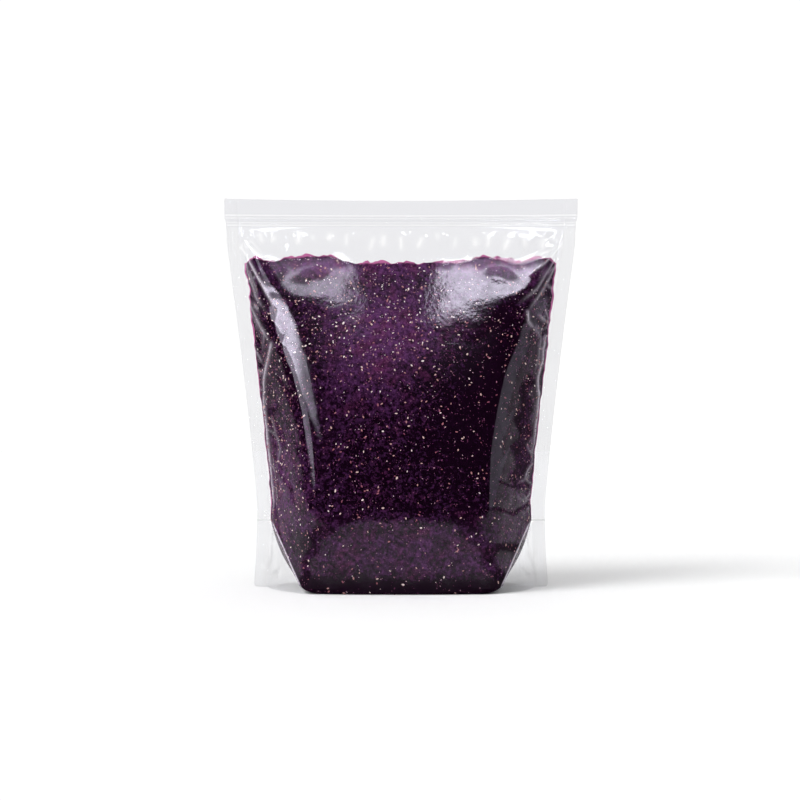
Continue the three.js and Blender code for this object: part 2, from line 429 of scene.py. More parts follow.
class JamSettings(bpy.types.PropertyGroup):
    """The jam and its seeds"""

    deep: bpy.props.FloatVectorProperty(
        name="Deep", description="The darkest jam", default=(0.0055, 0.0009, 0.0052), subtype="COLOR")
    fruit: bpy.props.FloatVectorProperty(
        name="Fruit", description="The lighter fruit flesh", default=(0.13, 0.036, 0.146), subtype="COLOR")
    flesh: bpy.props.FloatVectorProperty(
        name="Flesh", description="Redder fruit flesh in places", default=(0.145, 0.028, 0.108),
        subtype="COLOR")
    thin: bpy.props.FloatVectorProperty(
        name="Thin", description="Jam where it is so thin that light comes through",
        default=(0.42, 0.12, 0.27), subtype="COLOR")
    crease: bpy.props.FloatVectorProperty(
        name="Crease", description="Film folded over so that light catches in it",
        default=(0.66, 0.6, 0.68), subtype="COLOR")
    seed: bpy.props.FloatVectorProperty(
        name="Seed", description="The palest seeds", default=(1.0, 0.91, 0.88), subtype="COLOR")
    seed_count: bpy.props.IntProperty(
        name="Seeds", description="How many whole seeds lie against the film", default=2100, min=0)
    small_count: bpy.props.IntProperty(
        name="Small seeds", description="How many tips of seeds show through the jam", default=4400, min=0)
    fleck_count: bpy.props.IntProperty(
        name="Flecks", description="How many small half-sunk seeds and skins lie against the film",
        default=9600, min=0)
    seed_length: bpy.props.FloatProperty(
        name="Seed length", description="Length of a middling seed", default=1.8 * MM, unit="LENGTH")


class StageSettings(bpy.types.PropertyGroup):
    """The floor, the lamps and the camera"""

    camera_distance: bpy.props.FloatProperty(
        name="Camera distance", description="Lens to the middle of the pouch", default=1.133, unit="LENGTH")
    camera_height: bpy.props.FloatProperty(
        name="Camera height", description="Lens above the floor", default=132.4 * MM, unit="LENGTH")
    lens: bpy.props.FloatProperty(name="Lens", description="Focal length in millimetres", default=72.0)
    floor: bpy.props.FloatVectorProperty(
        name="Floor", description="Colour of the floor", default=(0.93, 0.93, 0.93), subtype="COLOR")


# ---------------------------------------------------------------- the film's shape

def outline_half(z):
    """Out to the edge of the side seals, at a height"""
    up = np.clip((z - WAIST_HEIGHT) / (BODY_TOP - WAIST_HEIGHT), 0, 1)
    low = np.clip(1 - z / WAIST_HEIGHT, 0, 1)
    return WAIST_HALF + (HALF_WIDTH - WAIST_HALF) * up ** WAIST_SPREAD + LEG_FLARE * low ** 2


def seam_half(z):
    """Out to the inner edge of the side seals, at a height"""
    return outline_half(z) - SIDE_SEAL


def base_edge(across):
    """Depth of the base's front edge at a share of the way from its middle to its foot"""
    return BASE_HALF_DEPTH - (BASE_HALF_DEPTH - FOOT_HALF_DEPTH) * np.abs(across) ** BASE_EDGE_ROUND


def flat_cut():
    """The film's flat cut: across and up, for each row and column of the grid"""
    inner = CUT_STEP * np.arange(-COLUMNS_TO_SEAL, COLUMNS_TO_SEAL + 1)
    seal = INNER_HALF + SIDE_SEAL * np.arange(1, SEAL_COLUMNS + 1) / SEAL_COLUMNS
    across = np.concatenate([-seal[::-1], inner, seal])
    low = CUT_STEP * np.arange(GUSSET_ROWS)
    body = np.linspace(GUSSET_HEIGHT, BODY_LENGTH, BODY_ROWS - GUSSET_ROWS + 1)
    header = BODY_LENGTH + HEADER_LENGTH * np.arange(1, HEADER_ROWS + 1) / HEADER_ROWS
    up = np.concatenate([low, body, header])
    return np.meshgrid(across, up)


def seam_height(up):
    """The height at which a row of the flat cut meets the side seam"""
    stretch = (BODY_TOP - GUSSET_HEIGHT) / (BODY_LENGTH - GUSSET_HEIGHT)
    above = np.where(up > GUSSET_HEIGHT, GUSSET_HEIGHT + (up - GUSSET_HEIGHT) * stretch, up)
    return np.where(up > BODY_LENGTH, BODY_TOP + up - BODY_LENGTH, above)


def seam_depth(z, side):
    """The side seams wander a little to the front and back on their way up"""
    calm = band(z, 5 * MM, 60 * MM, BODY_TOP - 45 * MM, BODY_TOP - 5 * MM)
    start = 0.7 if side > 0 else 2.1
    swing = np.sin(2 * np.pi * z / SEAM_WAVE_LENGTH + start + 0.8 * np.sin(side * z / (47 * MM)))
    return SEAM_WAVE * calm * swing


def standing_lines(across, up):
    """Where the welded lines of a panel stand, and which points of the cut they hold"""
    side = np.sign(across)
    reach = np.abs(across)
    z = seam_height(up)
    seal_share = np.clip((reach - INNER_HALF) / SIDE_SEAL, 0, 1)
    x = side * (seam_half(z) + seal_share * SIDE_SEAL)
    y = np.where(side > 0, seam_depth(z, 1), seam_depth(z, -1))
    held = reach > INNER_HALF - CUT_STEP / 2

    header = up > BODY_LENGTH - CUT_STEP / 4
    dip = TOP_DIP * (1 - (across / HALF_WIDTH) ** 2) * (up - BODY_LENGTH) / HEADER_LENGTH
    x = np.where(header, across, x)
    y = np.where(header, 0, y)
    z = np.where(header, z - dip, z)
    held |= header

    foot_line = FOOT_FLAT + up
    on_weld = (np.abs(reach - foot_line) < CUT_STEP / 2) & (up < GUSSET_HEIGHT + CUT_STEP / 2)
    rise = np.clip(up / GUSSET_HEIGHT, 0, 1)
    weld_x = FOOT_HALF_WIDTH + (seam_half(GUSSET_HEIGHT) - FOOT_HALF_WIDTH) * rise
    x = np.where(on_weld, side * weld_x, x)
    y = np.where(on_weld, -FOOT_HALF_DEPTH * (1 - rise), y)
    held |= on_weld

    bottom = up < CUT_STEP / 4
    on_base = bottom & (reach < FOOT_FLAT + CUT_STEP / 2)
    share = across / FOOT_FLAT
    x = np.where(on_base, share * FOOT_HALF_WIDTH, x)
    y = np.where(on_base, -base_edge(share), y)
    on_web = bottom & (reach > FOOT_FLAT + CUT_STEP / 2) & (reach < INNER_HALF - CUT_STEP / 2)
    share = (reach - FOOT_FLAT) / (INNER_HALF - FOOT_FLAT)
    swell = WEB_SWELL * np.sin(np.pi * np.clip(share, 0, 1))
    web_x = FOOT_HALF_WIDTH + (seam_half(0) - FOOT_HALF_WIDTH) * share + WEB_SWELL_WAY[0] * swell
    x = np.where(on_web, side * web_x, x)
    y = np.where(on_web, -FOOT_HALF_DEPTH * (1 - share) + WEB_SWELL_WAY[1] * swell, y)
    held |= bottom
    z = np.where(bottom, 0, z)
    return np.stack([x, y, z], axis=-1), held


def belly(z):
    """How far the middle of a panel stands in front of the seams, at a height"""
    low = BELLY_DEPTH - (BELLY_DEPTH - BASE_HALF_DEPTH) * (1 - z / BELLY_HEIGHT) ** 2
    up = np.clip((np.minimum(z, SHOULDER_HEIGHT) - BELLY_HEIGHT) / BELLY_TAPER_LENGTH, 0, 1)
    depth = np.where(z < BELLY_HEIGHT, low, BELLY_DEPTH * (1 - up ** BELLY_TAPER))
    above = np.clip((z - SHOULDER_HEIGHT) / (BODY_TOP - SHOULDER_HEIGHT), 0, 1)
    return depth * (1 - above) + STRIP_RISE * above + WELD_GAP


def half_section(z, ridge):
    """Half a level section of the panel: an almost flat front out to a rounded ridge, then a side"""
    if z < GUSSET_HEIGHT:
        rise = z / GUSSET_HEIGHT
        end_x = FOOT_HALF_WIDTH + (seam_half(GUSSET_HEIGHT) - FOOT_HALF_WIDTH) * rise
        end_y = FOOT_HALF_DEPTH * (1 - rise)
    else:
        end_x, end_y = seam_half(z), 0.0
    x = np.linspace(0, end_x, SECTION_POINTS)
    depth = float(belly(np.float64(z)))
    bow = min(FRONT_BOW, depth / 2)
    sink = BELLY_SINK * (1 - smooth(z, BELLY_HEIGHT, BELLY_SINK_TOP))
    front = belly(z + sink * np.minimum(x / ridge, 1) ** 2) - bow * (x / ridge) ** 2
    side = end_y + (depth - bow - end_y) * (end_x - x) / max(end_x - ridge, 1e-9)
    softer = math.exp(-((z - SOFT_RIDGE_HEIGHT) / SOFT_RIDGE_REACH) ** 2)
    sharp = RIDGE_ROUND - (RIDGE_ROUND - SHARP_RIDGE) * smooth(z, *SHARPENS)
    round_off = min(sharp + SOFT_RIDGE * softer, (0.35 + 0.4 * softer) * (depth - end_y) + 0.3 * MM)
    y = (front + side - np.sqrt((front - side) ** 2 + round_off ** 2)) / 2
    y += (end_y - y[-1]) * (x / end_x) ** 6
    length = np.concatenate([[0], np.cumsum(np.hypot(np.diff(x), np.diff(y)))])
    return x, y, length


def fitted_section(z, film_length):
    """The half section whose ridge stands where the film is just long enough"""
    low, high = 0.2 * seam_half(z), 0.9995 * seam_half(z)
    for _ in range(FIT_STEPS):
        ridge = (low + high) / 2
        if half_section(z, ridge)[2][-1] < film_length:
            low = ridge
        else:
            high = ridge
    return half_section(z, ridge)


def full_shape(across, up):
    """Where a full, unwrinkled front panel stands: one section for each row of the flat cut"""
    points, held = standing_lines(across, up)
    for row in range(across.shape[0]):
        height = up[row, 0]
        if height > BODY_LENGTH - CUT_STEP / 4 or height < CUT_STEP / 4:
            continue
        z = float(seam_height(height))
        film_length = min(FOOT_FLAT + height, INNER_HALF)
        x, y, length = fitted_section(z, film_length)
        reach = np.abs(across[row])
        share = np.clip(reach / film_length, 0, 1) * length[-1]
        inside = reach < film_length - CUT_STEP / 8
        side = np.sign(across[row])
        points[row, :, 0] = np.where(inside, side * np.interp(share, length, x), points[row, :, 0])
        points[row, :, 1] = np.where(inside, -np.interp(share, length, y), points[row, :, 1])
        points[row, :, 2] = np.where(inside, z, points[row, :, 2])
        web = ~inside & (reach > film_length + CUT_STEP / 2) & (reach < INNER_HALF - CUT_STEP / 2)
        along = ((reach - film_length) / max(INNER_HALF - film_length, 1e-9))[web]
        seam_x = float(seam_half(z))
        points[row, web, 0] = side[web] * (x[-1] + (seam_x - x[-1]) * along)
        points[row, web, 1] = -y[-1] * (1 - along)
        points[row, web, 2] = z
    return points, held


class Film:
    """The filled film: the flat cut, and where each panel's points come to rest"""

    across = None
    up = None
    panels = {}
    normals = {}

    @classmethod
    def at(cls, side, across, up, grids=None):
        """Where points of the flat cut come to rest on one panel"""
        column = FINE * ((across + INNER_HALF) / CUT_STEP + SEAL_COLUMNS)
        body_step = (BODY_LENGTH - GUSSET_HEIGHT) / (BODY_ROWS - GUSSET_ROWS)
        body_row = GUSSET_ROWS + (up - GUSSET_HEIGHT) / body_step
        row = FINE * np.where(up < GUSSET_HEIGHT, up / CUT_STEP, body_row)
        panel = (grids or cls.panels)[side]
        row_floor = np.clip(row.astype(int), 0, panel.shape[0] - 2)
        column_floor = np.clip(column.astype(int), 0, panel.shape[1] - 2)
        row_share = (row - row_floor)[..., None]
        column_share = (column - column_floor)[..., None]
        low = (panel[row_floor, column_floor] * (1 - column_share)
               + panel[row_floor, column_floor + 1] * column_share)
        high = (panel[row_floor + 1, column_floor] * (1 - column_share)
                + panel[row_floor + 1, column_floor + 1] * column_share)
        return low * (1 - row_share) + high * row_share


FOLD_KEPT = 0.1
HOLLOWS = {
    # -1 for the front, 1 for the back: across, height, half width, half height, lean in degrees, depth: in mm
    -1: ((-66, 224, 13, 7.5, 12, 0.5), (69, 220, 12, 5.0, -8, 0.5),
         (-88, 190, 2.4, 6, -25, 0.3), (-82, 174, 1.8, 5, -40, 0.25), (-77, 158, 2.0, 6, 15, 0.2)),
    1: ((50, 222, 14, 8, -10, 0.6), (-72, 210, 12, 6, 15, 0.6)),
}
LEFT_CREASES = (
    # half width, how far out, how white; then points from the seam, height: in mm
    (2.2, 1.1, 0.45, (1, 200), (22, 171)),
    (2.0, 0.9, 0.6, (22, 171), (9, 150), (4, 132), (5, 108), (3, 66)),
    (1.6, 0.7, 0.75, (4, 128), (4, 106), (3.5, 82), (4.5, 62), (3, 30)),
    (1.6, 0.6, 0.25, (5, 196), (17, 180), (10, 166)),
    (2.0, 0.9, 0.4, (3, 228), (9, 206), (20, 194)),
    (1.4, -0.5, 0.3, (6, 223), (13, 203)),
    (2.6, 0.7, 0.4, (7, 199), (12, 196)),
    (1.6, 0.6, 0.2, (12, 120), (20, 98), (13, 84)),
    (1.3, 1.0, 0.95, (-1, 242), (12, 222), (25, 201), (30, 188)),
    (0.9, 0.4, 0.7, (-1, 242), (10, 240), (19, 233), (14, 237)),
    (0.8, 0.3, 0.5, (-1, 242), (9, 245), (19, 235)),
)
RIGHT_CREASES = (
    (1.6, 0.8, 0.4, (1, 229), (14, 210), (27, 194)),
    (1.2, 0.7, 0.6, (27, 194), (26, 187), (20, 181)),
    (1.4, 0.6, 0.35, (5, 231), (20, 210), (33, 200)),
    (1.2, -0.4, 0.3, (3, 226), (16, 203)),
    (2.0, 0.8, 0.2, (20, 182), (11, 176), (11, 161), (14, 147)),
    (2.2, 0.9, 0.65, (5, 176), (6, 160), (8, 148), (4, 134), (4, 110), (4, 80)),
    (1.4, 0.6, 0.3, (8, 196), (3, 185)),
    (1.6, 0.7, 0.2, (1, 66), (14, 62), (26, 66)),
    (1.2, 0.8, 0.25, (1, 73), (12, 77), (24, 74)),
    (1.2, 0.7, 0.2, (2, 90), (10, 97), (17, 103)),
    (1.8, 0.6, 0.2, (4, 58), (18, 46)),
    (1.0, 0.35, 0.75, (-1, 243), (14, 229), (27, 219)),
    (0.9, 0.3, 0.6, (-1, 243), (16, 236), (30, 235)),
    (0.9, 0.3, 0.5, (-1, 243), (10, 247), (20, 245)),
)
FLECKS = 17
CRUMPLES = (
    # tall, wide: in mm; height; reach from the seam; seed
    (10, 3.4, 0.36 * MM, 14 * MM, 31),
    (4.5, 2.2, 0.22 * MM, 12 * MM, 33),
)
WAVERS = (
    # tall, wide: in mm; height; seed: all over, under the closing strip, and in the legs
    (4.0, 4.0, 0.012 * MM, 41),
    (4.0, 2.0, 0.3 * MM, 47),
    (9.0, 3.4, 0.35 * MM, 53),
)
STRETCHED = (231, 237, 250, 254)  # heights in mm between which the film is stretched by the strip
RIDGE_BLUNT = 0.35
CREASE_FADES = 0.6
WHITE_SHARE = 0.45
PLEATS = 11
PLEAT_SEEDS = {"left": 71, "right": 73}
FLECK_SEED = 83
PINCHES = (
    # wave length, width of the flat strip beside the seam: in mm
    (31, 0.55),
    (17, 0.5),
    (9, 0.35),
)
PINCH_SEEDS = {"left": 62, "right": 61}
PINCH_REACH = 14 * MM


def soft_noise(shape, tall, wide, seed):
    """Even random hills and hollows of a size in mm"""
    field = np.random.default_rng(seed).normal(size=shape)
    for axis, size in enumerate(np.array([tall, wide]) * MM * FINE / CUT_STEP):
        reach = int(3 * size) + 1
        weight = np.exp(-0.5 * (np.arange(-reach, reach + 1) / size) ** 2)
        field = np.apply_along_axis(lambda line: np.convolve(line, weight, mode="same"), axis, field)
    return field / field.std()


def beside_line(x, z, start, end):
    """How far along a straight line each place is, as a share, and how far it is from the line"""
    run_x, run_z = end[0] - start[0], end[1] - start[1]
    share = np.clip(((x - start[0]) * run_x + (z - start[1]) * run_z) / (run_x ** 2 + run_z ** 2), 0, 1)
    return share, np.hypot(x - start[0] - share * run_x, z - start[1] - share * run_z)


def turned(x, z, centre_x, centre_z, lean):
    """Places measured from a centre, along and beside a line that leans by some degrees"""
    x, z, turn = x - centre_x, z - centre_z, math.radians(lean)
    return x * math.cos(turn) + z * math.sin(turn), z * math.cos(turn) - x * math.sin(turn)


def crease_line(x, z, points, width):
    """Highest along a line through several points, falling to 0 beside it and towards its far end"""
    lengths = [math.dist(first, second) for first, second in zip(points, points[1:])]
    nearest = np.full(x.shape, 1000.0)
    gone = np.zeros(x.shape)
    before = 0.0
    for start, end, length in zip(points, points[1:], lengths):
        share, away = beside_line(x, z, start, end)
        gone = np.where(away < nearest, (before + share * length) / sum(lengths), gone)
        nearest = np.minimum(nearest, away)
        before += length
    return np.exp(-np.hypot(nearest, RIDGE_BLUNT * width) / width) * (1 - 0.9 * smooth(gone, CREASE_FADES, 1))


def drawn_line(x, z, points, width):
    """A crease line that reaches 1 along its middle"""
    return crease_line(x, z, points, width) * math.exp(RIDGE_BLUNT)


def random_pleats(seed):
    """Short pleats that run in from a side seam"""
    chance = np.random.default_rng(seed)
    pleats = []
    for z in np.linspace(58, 222, PLEATS) + chance.uniform(-6, 6, PLEATS):
        start, length, fall = chance.uniform(0, 3), chance.uniform(7, 17), chance.uniform(-14, 10)
        width, height = chance.uniform(1.2, 1.9), chance.choice([-0.5, 0.5, 0.7])
        white = chance.uniform(0.05, 0.35)
        middle = (start + 0.6 * length, z + 0.4 * fall)
        pleats.append((width, height, white, (start, z), middle, (start + length, z + fall)))
    return pleats


def all_creases(across, z, side):
    """How far the creases stand out of a panel, and how white they look"""
    to_seam = (INNER_HALF - np.abs(across)) / MM
    out = np.zeros(across.shape)
    white = np.zeros(across.shape)
    for end, creases, half in (("left", LEFT_CREASES, across < 0), ("right", RIGHT_CREASES, across > 0)):
        for width, height, whiteness, *points in (*creases, *random_pleats(PLEAT_SEEDS[end] + side)):
            out += np.where(half, height * MM * crease_line(to_seam, z, points, width), 0)
            line = drawn_line(to_seam, z, points, WHITE_SHARE * width)
            white = np.maximum(white, np.where(half, whiteness * line, 0))
    return out, white


def strip_flecks(across, z):
    """White glints in the stretched film just under the closing strip"""
    chance = np.random.default_rng(FLECK_SEED)
    white = np.zeros(across.shape)
    x = across / MM
    for centre in np.linspace(-98, 100, FLECKS) + chance.uniform(-5, 5, FLECKS):
        top, length, lean = chance.uniform(245, 250), chance.uniform(3, 10), chance.uniform(-3, 2)
        points = ((centre, top), (centre + lean, top - length))
        line = drawn_line(x, z, points, chance.uniform(0.7, 1.5))
        white = np.maximum(white, chance.uniform(0.35, 1.0) * line)
    return white


def flat_beside_seam(up, right):
    """How far the panels lie flat together beside the left or right seam, at a height of the flat cut"""
    widths = []
    for seed in (PINCH_SEEDS["left"], PINCH_SEEDS["right"]):
        waves = np.random.default_rng(seed)
        widths.append(sum(
            height * MM * np.abs(np.sin(np.pi * up / (length * MM) + waves.uniform(0, np.pi)))
            for length, height in PINCHES))
    width = np.where(right, widths[1], widths[0]) * (0.8 + 1.2 * smooth(up, 165 * MM, 230 * MM))
    return width * band(
        up, GUSSET_HEIGHT + 2 * MM, GUSSET_HEIGHT + 14 * MM, BODY_LENGTH - 16 * MM, BODY_LENGTH - 6 * MM)


def pinched(panel, across, up, side):
    """Lays the film flat for a little way beside the side seams, and moves what stands there inwards"""
    to_seam = INNER_HALF - np.abs(across)
    width = flat_beside_seam(up, across > 0)
    share = 1 - smooth(to_seam, width, PINCH_REACH)
    moved = np.sign(across) * (INNER_HALF - np.maximum(to_seam - width * share, 0))
    inside = (to_seam > 0) & (to_seam < PINCH_REACH) & (up < BODY_LENGTH - 5 * MM)
    shifted = Film.at(side, np.where(inside, moved, 0), np.where(inside, up, 0), {side: panel})
    shifted[..., 0] -= np.sign(across) * np.minimum(to_seam, width) * share
    return np.where(inside[..., None], shifted, panel)


def trimmed(panel, across, up):
    """Rounds the outer corners of the legs and steps the side seals in under the closing strip"""
    panel = panel.copy()
    side = np.sign(across)
    in_seal = np.clip((np.abs(across) - INNER_HALF) / SIDE_SEAL, 0, 1)
    from_edge = np.clip(HALF_WIDTH - np.abs(across), 0, LEG_CORNER)
    inward, upward = LEG_CORNER - from_edge, LEG_CORNER - np.clip(up, 0, LEG_CORNER)
    rounded = np.maximum(inward, upward) / np.maximum(np.hypot(inward, upward), 1e-9)
    panel[..., 0] -= side * inward * (1 - rounded)
    panel[..., 2] += upward * (1 - rounded) * (inward > 0)
    z = panel[..., 2]
    step = (1 - smooth(z, BODY_TOP + 4 * MM, BODY_TOP + 6 * MM)) * smooth(z, BODY_TOP - 14 * MM, BODY_TOP)
    panel[..., 0] -= side * NOTCH_DEPTH * in_seal * step
    return panel


def crumpled(panel, across, up, side):
    """Adds hollows over the jam, creases, and crumples where the film has too much length"""
    push = np.zeros(across.shape)
    x, z = panel[..., 0] / MM, panel[..., 2] / MM
    for centre_x, centre_z, wide, tall, lean, depth in HOLLOWS[side]:
        along, beside = turned(x, z, centre_x, centre_z, lean)
        push += depth * MM * np.exp(-0.5 * ((along / wide) ** 2 + (beside / tall) ** 2))
    to_seam = INNER_HALF - np.abs(across)
    push -= all_creases(across, z, side)[0]
    open_film = smooth(to_seam, 0, 4 * MM) * smooth(up, 4 * MM, 20 * MM)
    open_film *= 1 - smooth(up, BODY_LENGTH - 8 * MM, BODY_LENGTH - 2 * MM)
    on_weld = np.abs(np.abs(across) - (FOOT_FLAT + up))
    open_film *= np.where(up < GUSSET_HEIGHT, smooth(on_weld, 1 * MM, 6 * MM), 1)
    for tall, wide, height, reach, seed in CRUMPLES:
        ridges = 1 - 2 * np.abs(np.tanh(0.9 * soft_noise(across.shape, tall, wide, seed + side)))
        push -= height * ridges * np.exp(-(to_seam / reach) ** 2)
    under_strip = band(z, *STRETCHED) * smooth(to_seam, 0, 8 * MM)
    leg = smooth(np.abs(across) - FOOT_FLAT - up, 3 * MM, 10 * MM) * smooth(to_seam, 0, 5 * MM)
    for (tall, wide, height, seed), where in zip(WAVERS, (1, under_strip, leg)):
        push += height * soft_noise(across.shape, tall, wide, seed + side) * where
    outward = -side * sheet_normals(panel)
    return panel - (push * open_film)[..., None] * outward


SIM_SCALE = 10
FLAT_GAP = 1.0 * MM
CRUMPLE_SEED = 3
CRUMPLE = 0.05 * MM
CARRY_FRAMES = 25
SETTLE_FRAMES = 20
AIR_PRESSURE = 0.15
CLOTH_VALUES = dict(
    quality=6, mass=0.02, tension_damping=10, compression_damping=10, shear_damping=10, bending_damping=0.5,
    air_damping=1, vertex_group_mass="hold", pin_stiffness=50, use_pressure=True,
    vertex_group_pressure="press")


def cloth_sheets(across, up, full, held):
    """Both panels as one mesh, flat and a little apart, with their full shape in a shape key"""
    flat = np.stack([across, np.zeros_like(across), up], axis=-1)
    uneven = np.random.default_rng(CRUMPLE_SEED)
    sheets = []
    targets = []
    for name, side in (("front", -1), ("back", 1)):
        start = flat.copy()
        start[..., 1] = side * FLAT_GAP + uneven.normal(0, CRUMPLE, across.shape)
        stand = full.copy()
        stand[..., 1] *= np.where((side > 0) & ~held, -1, 1)
        stand[..., 1] *= np.where((side > 0) & held & (np.abs(across) < INNER_HALF - CUT_STEP / 2), -1, 1)
        strip_end = BODY_LENGTH + STRIP_LENGTH
        over_strip = band(up, BODY_LENGTH - CUT_STEP, BODY_LENGTH, strip_end, strip_end + CUT_STEP)
        over_strip *= 1 - smooth(np.abs(across), INNER_HALF - CUT_STEP, INNER_HALF)
        stand[..., 1] += np.where(held, side * (WELD_GAP + STRIP_RISE * over_strip), 0)
        sheet = new_sheet(f"cut_{name}", start * SIM_SCALE)
        if side > 0:
            flip(sheet)
        sheets.append(sheet)
        targets.append(stand.reshape(-1, 3))
    film = join(sheets, "film_cut")
    film.shape_key_add(name="Basis")
    stand = film.shape_key_add(name="Stand")
    stand.data.foreach_set("co", (np.concatenate(targets) * SIM_SCALE).astype(np.float32).ravel())
    stand.value = 0
    stand.keyframe_insert("value", frame=1)
    stand.value = 1
    stand.keyframe_insert("value", frame=CARRY_FRAMES)
    return film


def hold_and_press(film, held, across, up, settings):
    """Marks how firmly each point is held, and how hard the jam presses on it"""
    depth = np.clip(1 - seam_height(up) / settings.fill_height, 0, 1)
    push = np.where(depth > 0, AIR_PRESSURE + (1 - AIR_PRESSURE) * depth, 0)
    web = (np.abs(across) > FOOT_FLAT + up - CUT_STEP / 4) & (up < GUSSET_HEIGHT)
    push = np.where(web, 0, push)
    hold = film.vertex_groups.new(name="hold")
    hold.add(np.nonzero(np.tile(held.ravel(), 2))[0].tolist(), 1.0, "REPLACE")
    hold.add(np.nonzero(np.tile(~held.ravel(), 2))[0].tolist(), settings.guide, "REPLACE")
    press = film.vertex_groups.new(name="press")
    for index, weight in enumerate(np.tile(push.ravel(), 2)):
        if weight > 0:
            press.add([index], float(weight), "REPLACE")


def run_cloth(film, settings):
    """Lets the film fill, and keeps its shape"""
    only(film)
    cloth = film.modifiers.new("Cloth", "CLOTH")
    values = cloth.settings
    for name, value in CLOTH_VALUES.items():
        setattr(values, name, value)
    values.tension_stiffness = settings.stiffness
    values.compression_stiffness = settings.stiffness
    values.shear_stiffness = settings.stiffness / 2
    values.bending_stiffness = settings.bending
    values.uniform_pressure_force = settings.pressure
    values.effector_weights.gravity = 0
    cloth.collision_settings.use_collision = False
    last = CARRY_FRAMES + SETTLE_FRAMES
    cloth.point_cache.frame_start = 1
    cloth.point_cache.frame_end = last
    scene = bpy.context.scene
    scene.frame_start = 1
    scene.frame_end = last
    for step in range(1, last + 1):
        scene.frame_set(step)
    filled = film.evaluated_get(bpy.context.evaluated_depsgraph_get())
    points = read_points(filled.data) / SIM_SCALE
    scene.frame_set(1)
    bpy.data.objects.remove(film)
    return points


def refine(grid):
    """Doubles the rows and columns of a grid along smooth curves through its points"""
    for axis in (0, 1):
        grid = np.moveaxis(grid, axis, 0)
        first = 2 * grid[:1] - grid[1:2]
        last = 2 * grid[-1:] - grid[-2:-1]
        wide = np.concatenate([first, grid, last])
        between = (9 * (wide[1:-2] + wide[2:-1]) - wide[:-3] - wide[3:]) / 16
        finer = np.empty((2 * len(grid) - 1, *grid.shape[1:]))
        finer[0::2] = grid
        finer[1::2] = between
        grid = np.moveaxis(finer, 0, axis)
    return grid


def sheet_normals(points):
    """Outward direction at each point of a front panel's grid"""
    along = np.gradient(points, axis=1)
    upward = np.gradient(points, axis=0)
    normal = np.cross(along, upward)
    length = np.linalg.norm(normal, axis=-1, keepdims=True)
    return normal / np.maximum(length, 1e-12)


# ---------------------------------------------------------------- operators

class POUCH_OT_fill_film(bpy.types.Operator):
    """Fills the flat film with jam pressure and keeps its shape for the other pieces"""

    bl_idname = "pouch.fill_film"
    bl_label = "Fill film"

    def execute(self, context):
        settings = context.scene.pouch_film
        across, up = flat_cut()
        full, held = full_shape(across, up)
        film = cloth_sheets(across, up, full, held)
        hold_and_press(film, held, across, up, settings)
        points = run_cloth(film, settings).reshape(2, *across.shape, 3)
        Film.across = refine(refine(across[..., None]))[..., 0]
        Film.up = refine(refine(up[..., None]))[..., 0]
        for side, panel in zip((-1, 1), points):
            smooth_panel = full.copy()
            smooth_panel[..., 1] = np.where(held, panel[..., 1], -side * full[..., 1])
            panel = smooth_panel + FOLD_KEPT * (panel - smooth_panel)
            panel = pinched(refine(refine(panel)), Film.across, Film.up, side)
            panel = trimmed(crumpled(panel, Film.across, Film.up, side), Film.across, Film.up)
            panel[..., 2] = np.maximum(panel[..., 2], FLOOR_GAP)
            Film.panels[side] = panel
            Film.normals[side] = -side * sheet_normals(panel)
        return {"FINISHED"}


LINE_HALF = 0.45 * MM
WELD_MILK = 0.06
FOLD_MILK = 0.12
WELD_LINES = (
    # height on the flat cut, how bright
    (BODY_LENGTH + 1.0 * MM, 0.55),
    (BODY_LENGTH + 2.9 * MM, 0.35),
    (BODY_LENGTH + 6.2 * MM, 0.35),
    (BODY_LENGTH + 8.2 * MM, 0.55),
)


def film_finish(settings):
    """Clear glossy film, a little milky with fine upright lines where it is welded"""
    make = Finish("clear_film")
    place_on = make.object_place()
    flat = make.node("ShaderNodeUVMap", {"uv_map": "UVMap"})
    parts = make.node("ShaderNodeSeparateXYZ", {}, {0: flat})
    height = Wire(make, parts.socket.node.outputs[1])
    reach = parts.math("ABSOLUTE", parts) * (1 / HALF_WIDTH)
    sealed_from = INNER_HALF / HALF_WIDTH
    sealed = make.steps(reach, (0.0, 0), (sealed_from, 0), (sealed_from + 0.004, 1))
    upright = make.node("ShaderNodeMapping", {}, {"Vector": place_on, "Scale": (1, 0.2, 0.012)})
    lines = make.noise(upright, 2200, 2, 0.7)
    normal = make.bump(make.noise(place_on, 90, 1) + sealed * lines * 0.1, 0.05 * MM, 0.3)

    up = height * (1 / BODY_LENGTH)
    header = make.steps(up, (0.0, 0), (0.994, 0), (0.999, 1))
    # Painted shade: the film between the jam and the strip takes the greyer header tint
    above_jam = make.steps(up, (0.86, 0), (0.9, 0.8), (0.994, 0.8), (0.999, 0))
    bare = 1 - make.attribute("on_jam")
    bright = make.attribute("white") * bare
    for line, share in WELD_LINES:
        bright = bright + make.within(height, line - LINE_HALF, line + LINE_HALF, LINE_HALF / 2) * share
    greyer = make.clear(opaque(settings.header_tint))
    clear = make.blend(header + above_jam * (1 - sealed), make.clear(opaque(settings.tint)), greyer)
    clear = make.blend(bright, clear, make.clear(grey(1)))
    # Painted shade: the darker fold tint where shade is painted on the film
    clear = make.blend(make.attribute("dim"), clear, make.clear(opaque(settings.fold)))

    gloss = make.gloss(grey(1), 0.05 + sealed * 0.15, normal)
    shader = make.blend(make.mirror_share(CLEAR_MIRROR, normal) * bare, clear, gloss)
    milk = make.node("ShaderNodeBsdfDiffuse", {}, {"Color": grey(0.85), "Roughness": 0.0})
    fold = make.within(height, GUSSET_HEIGHT - LINE_HALF, GUSSET_HEIGHT + LINE_HALF, LINE_HALF / 2)
    return make.finish(make.blend(sealed * lines * WELD_MILK + sealed * fold * FOLD_MILK, shader, milk))


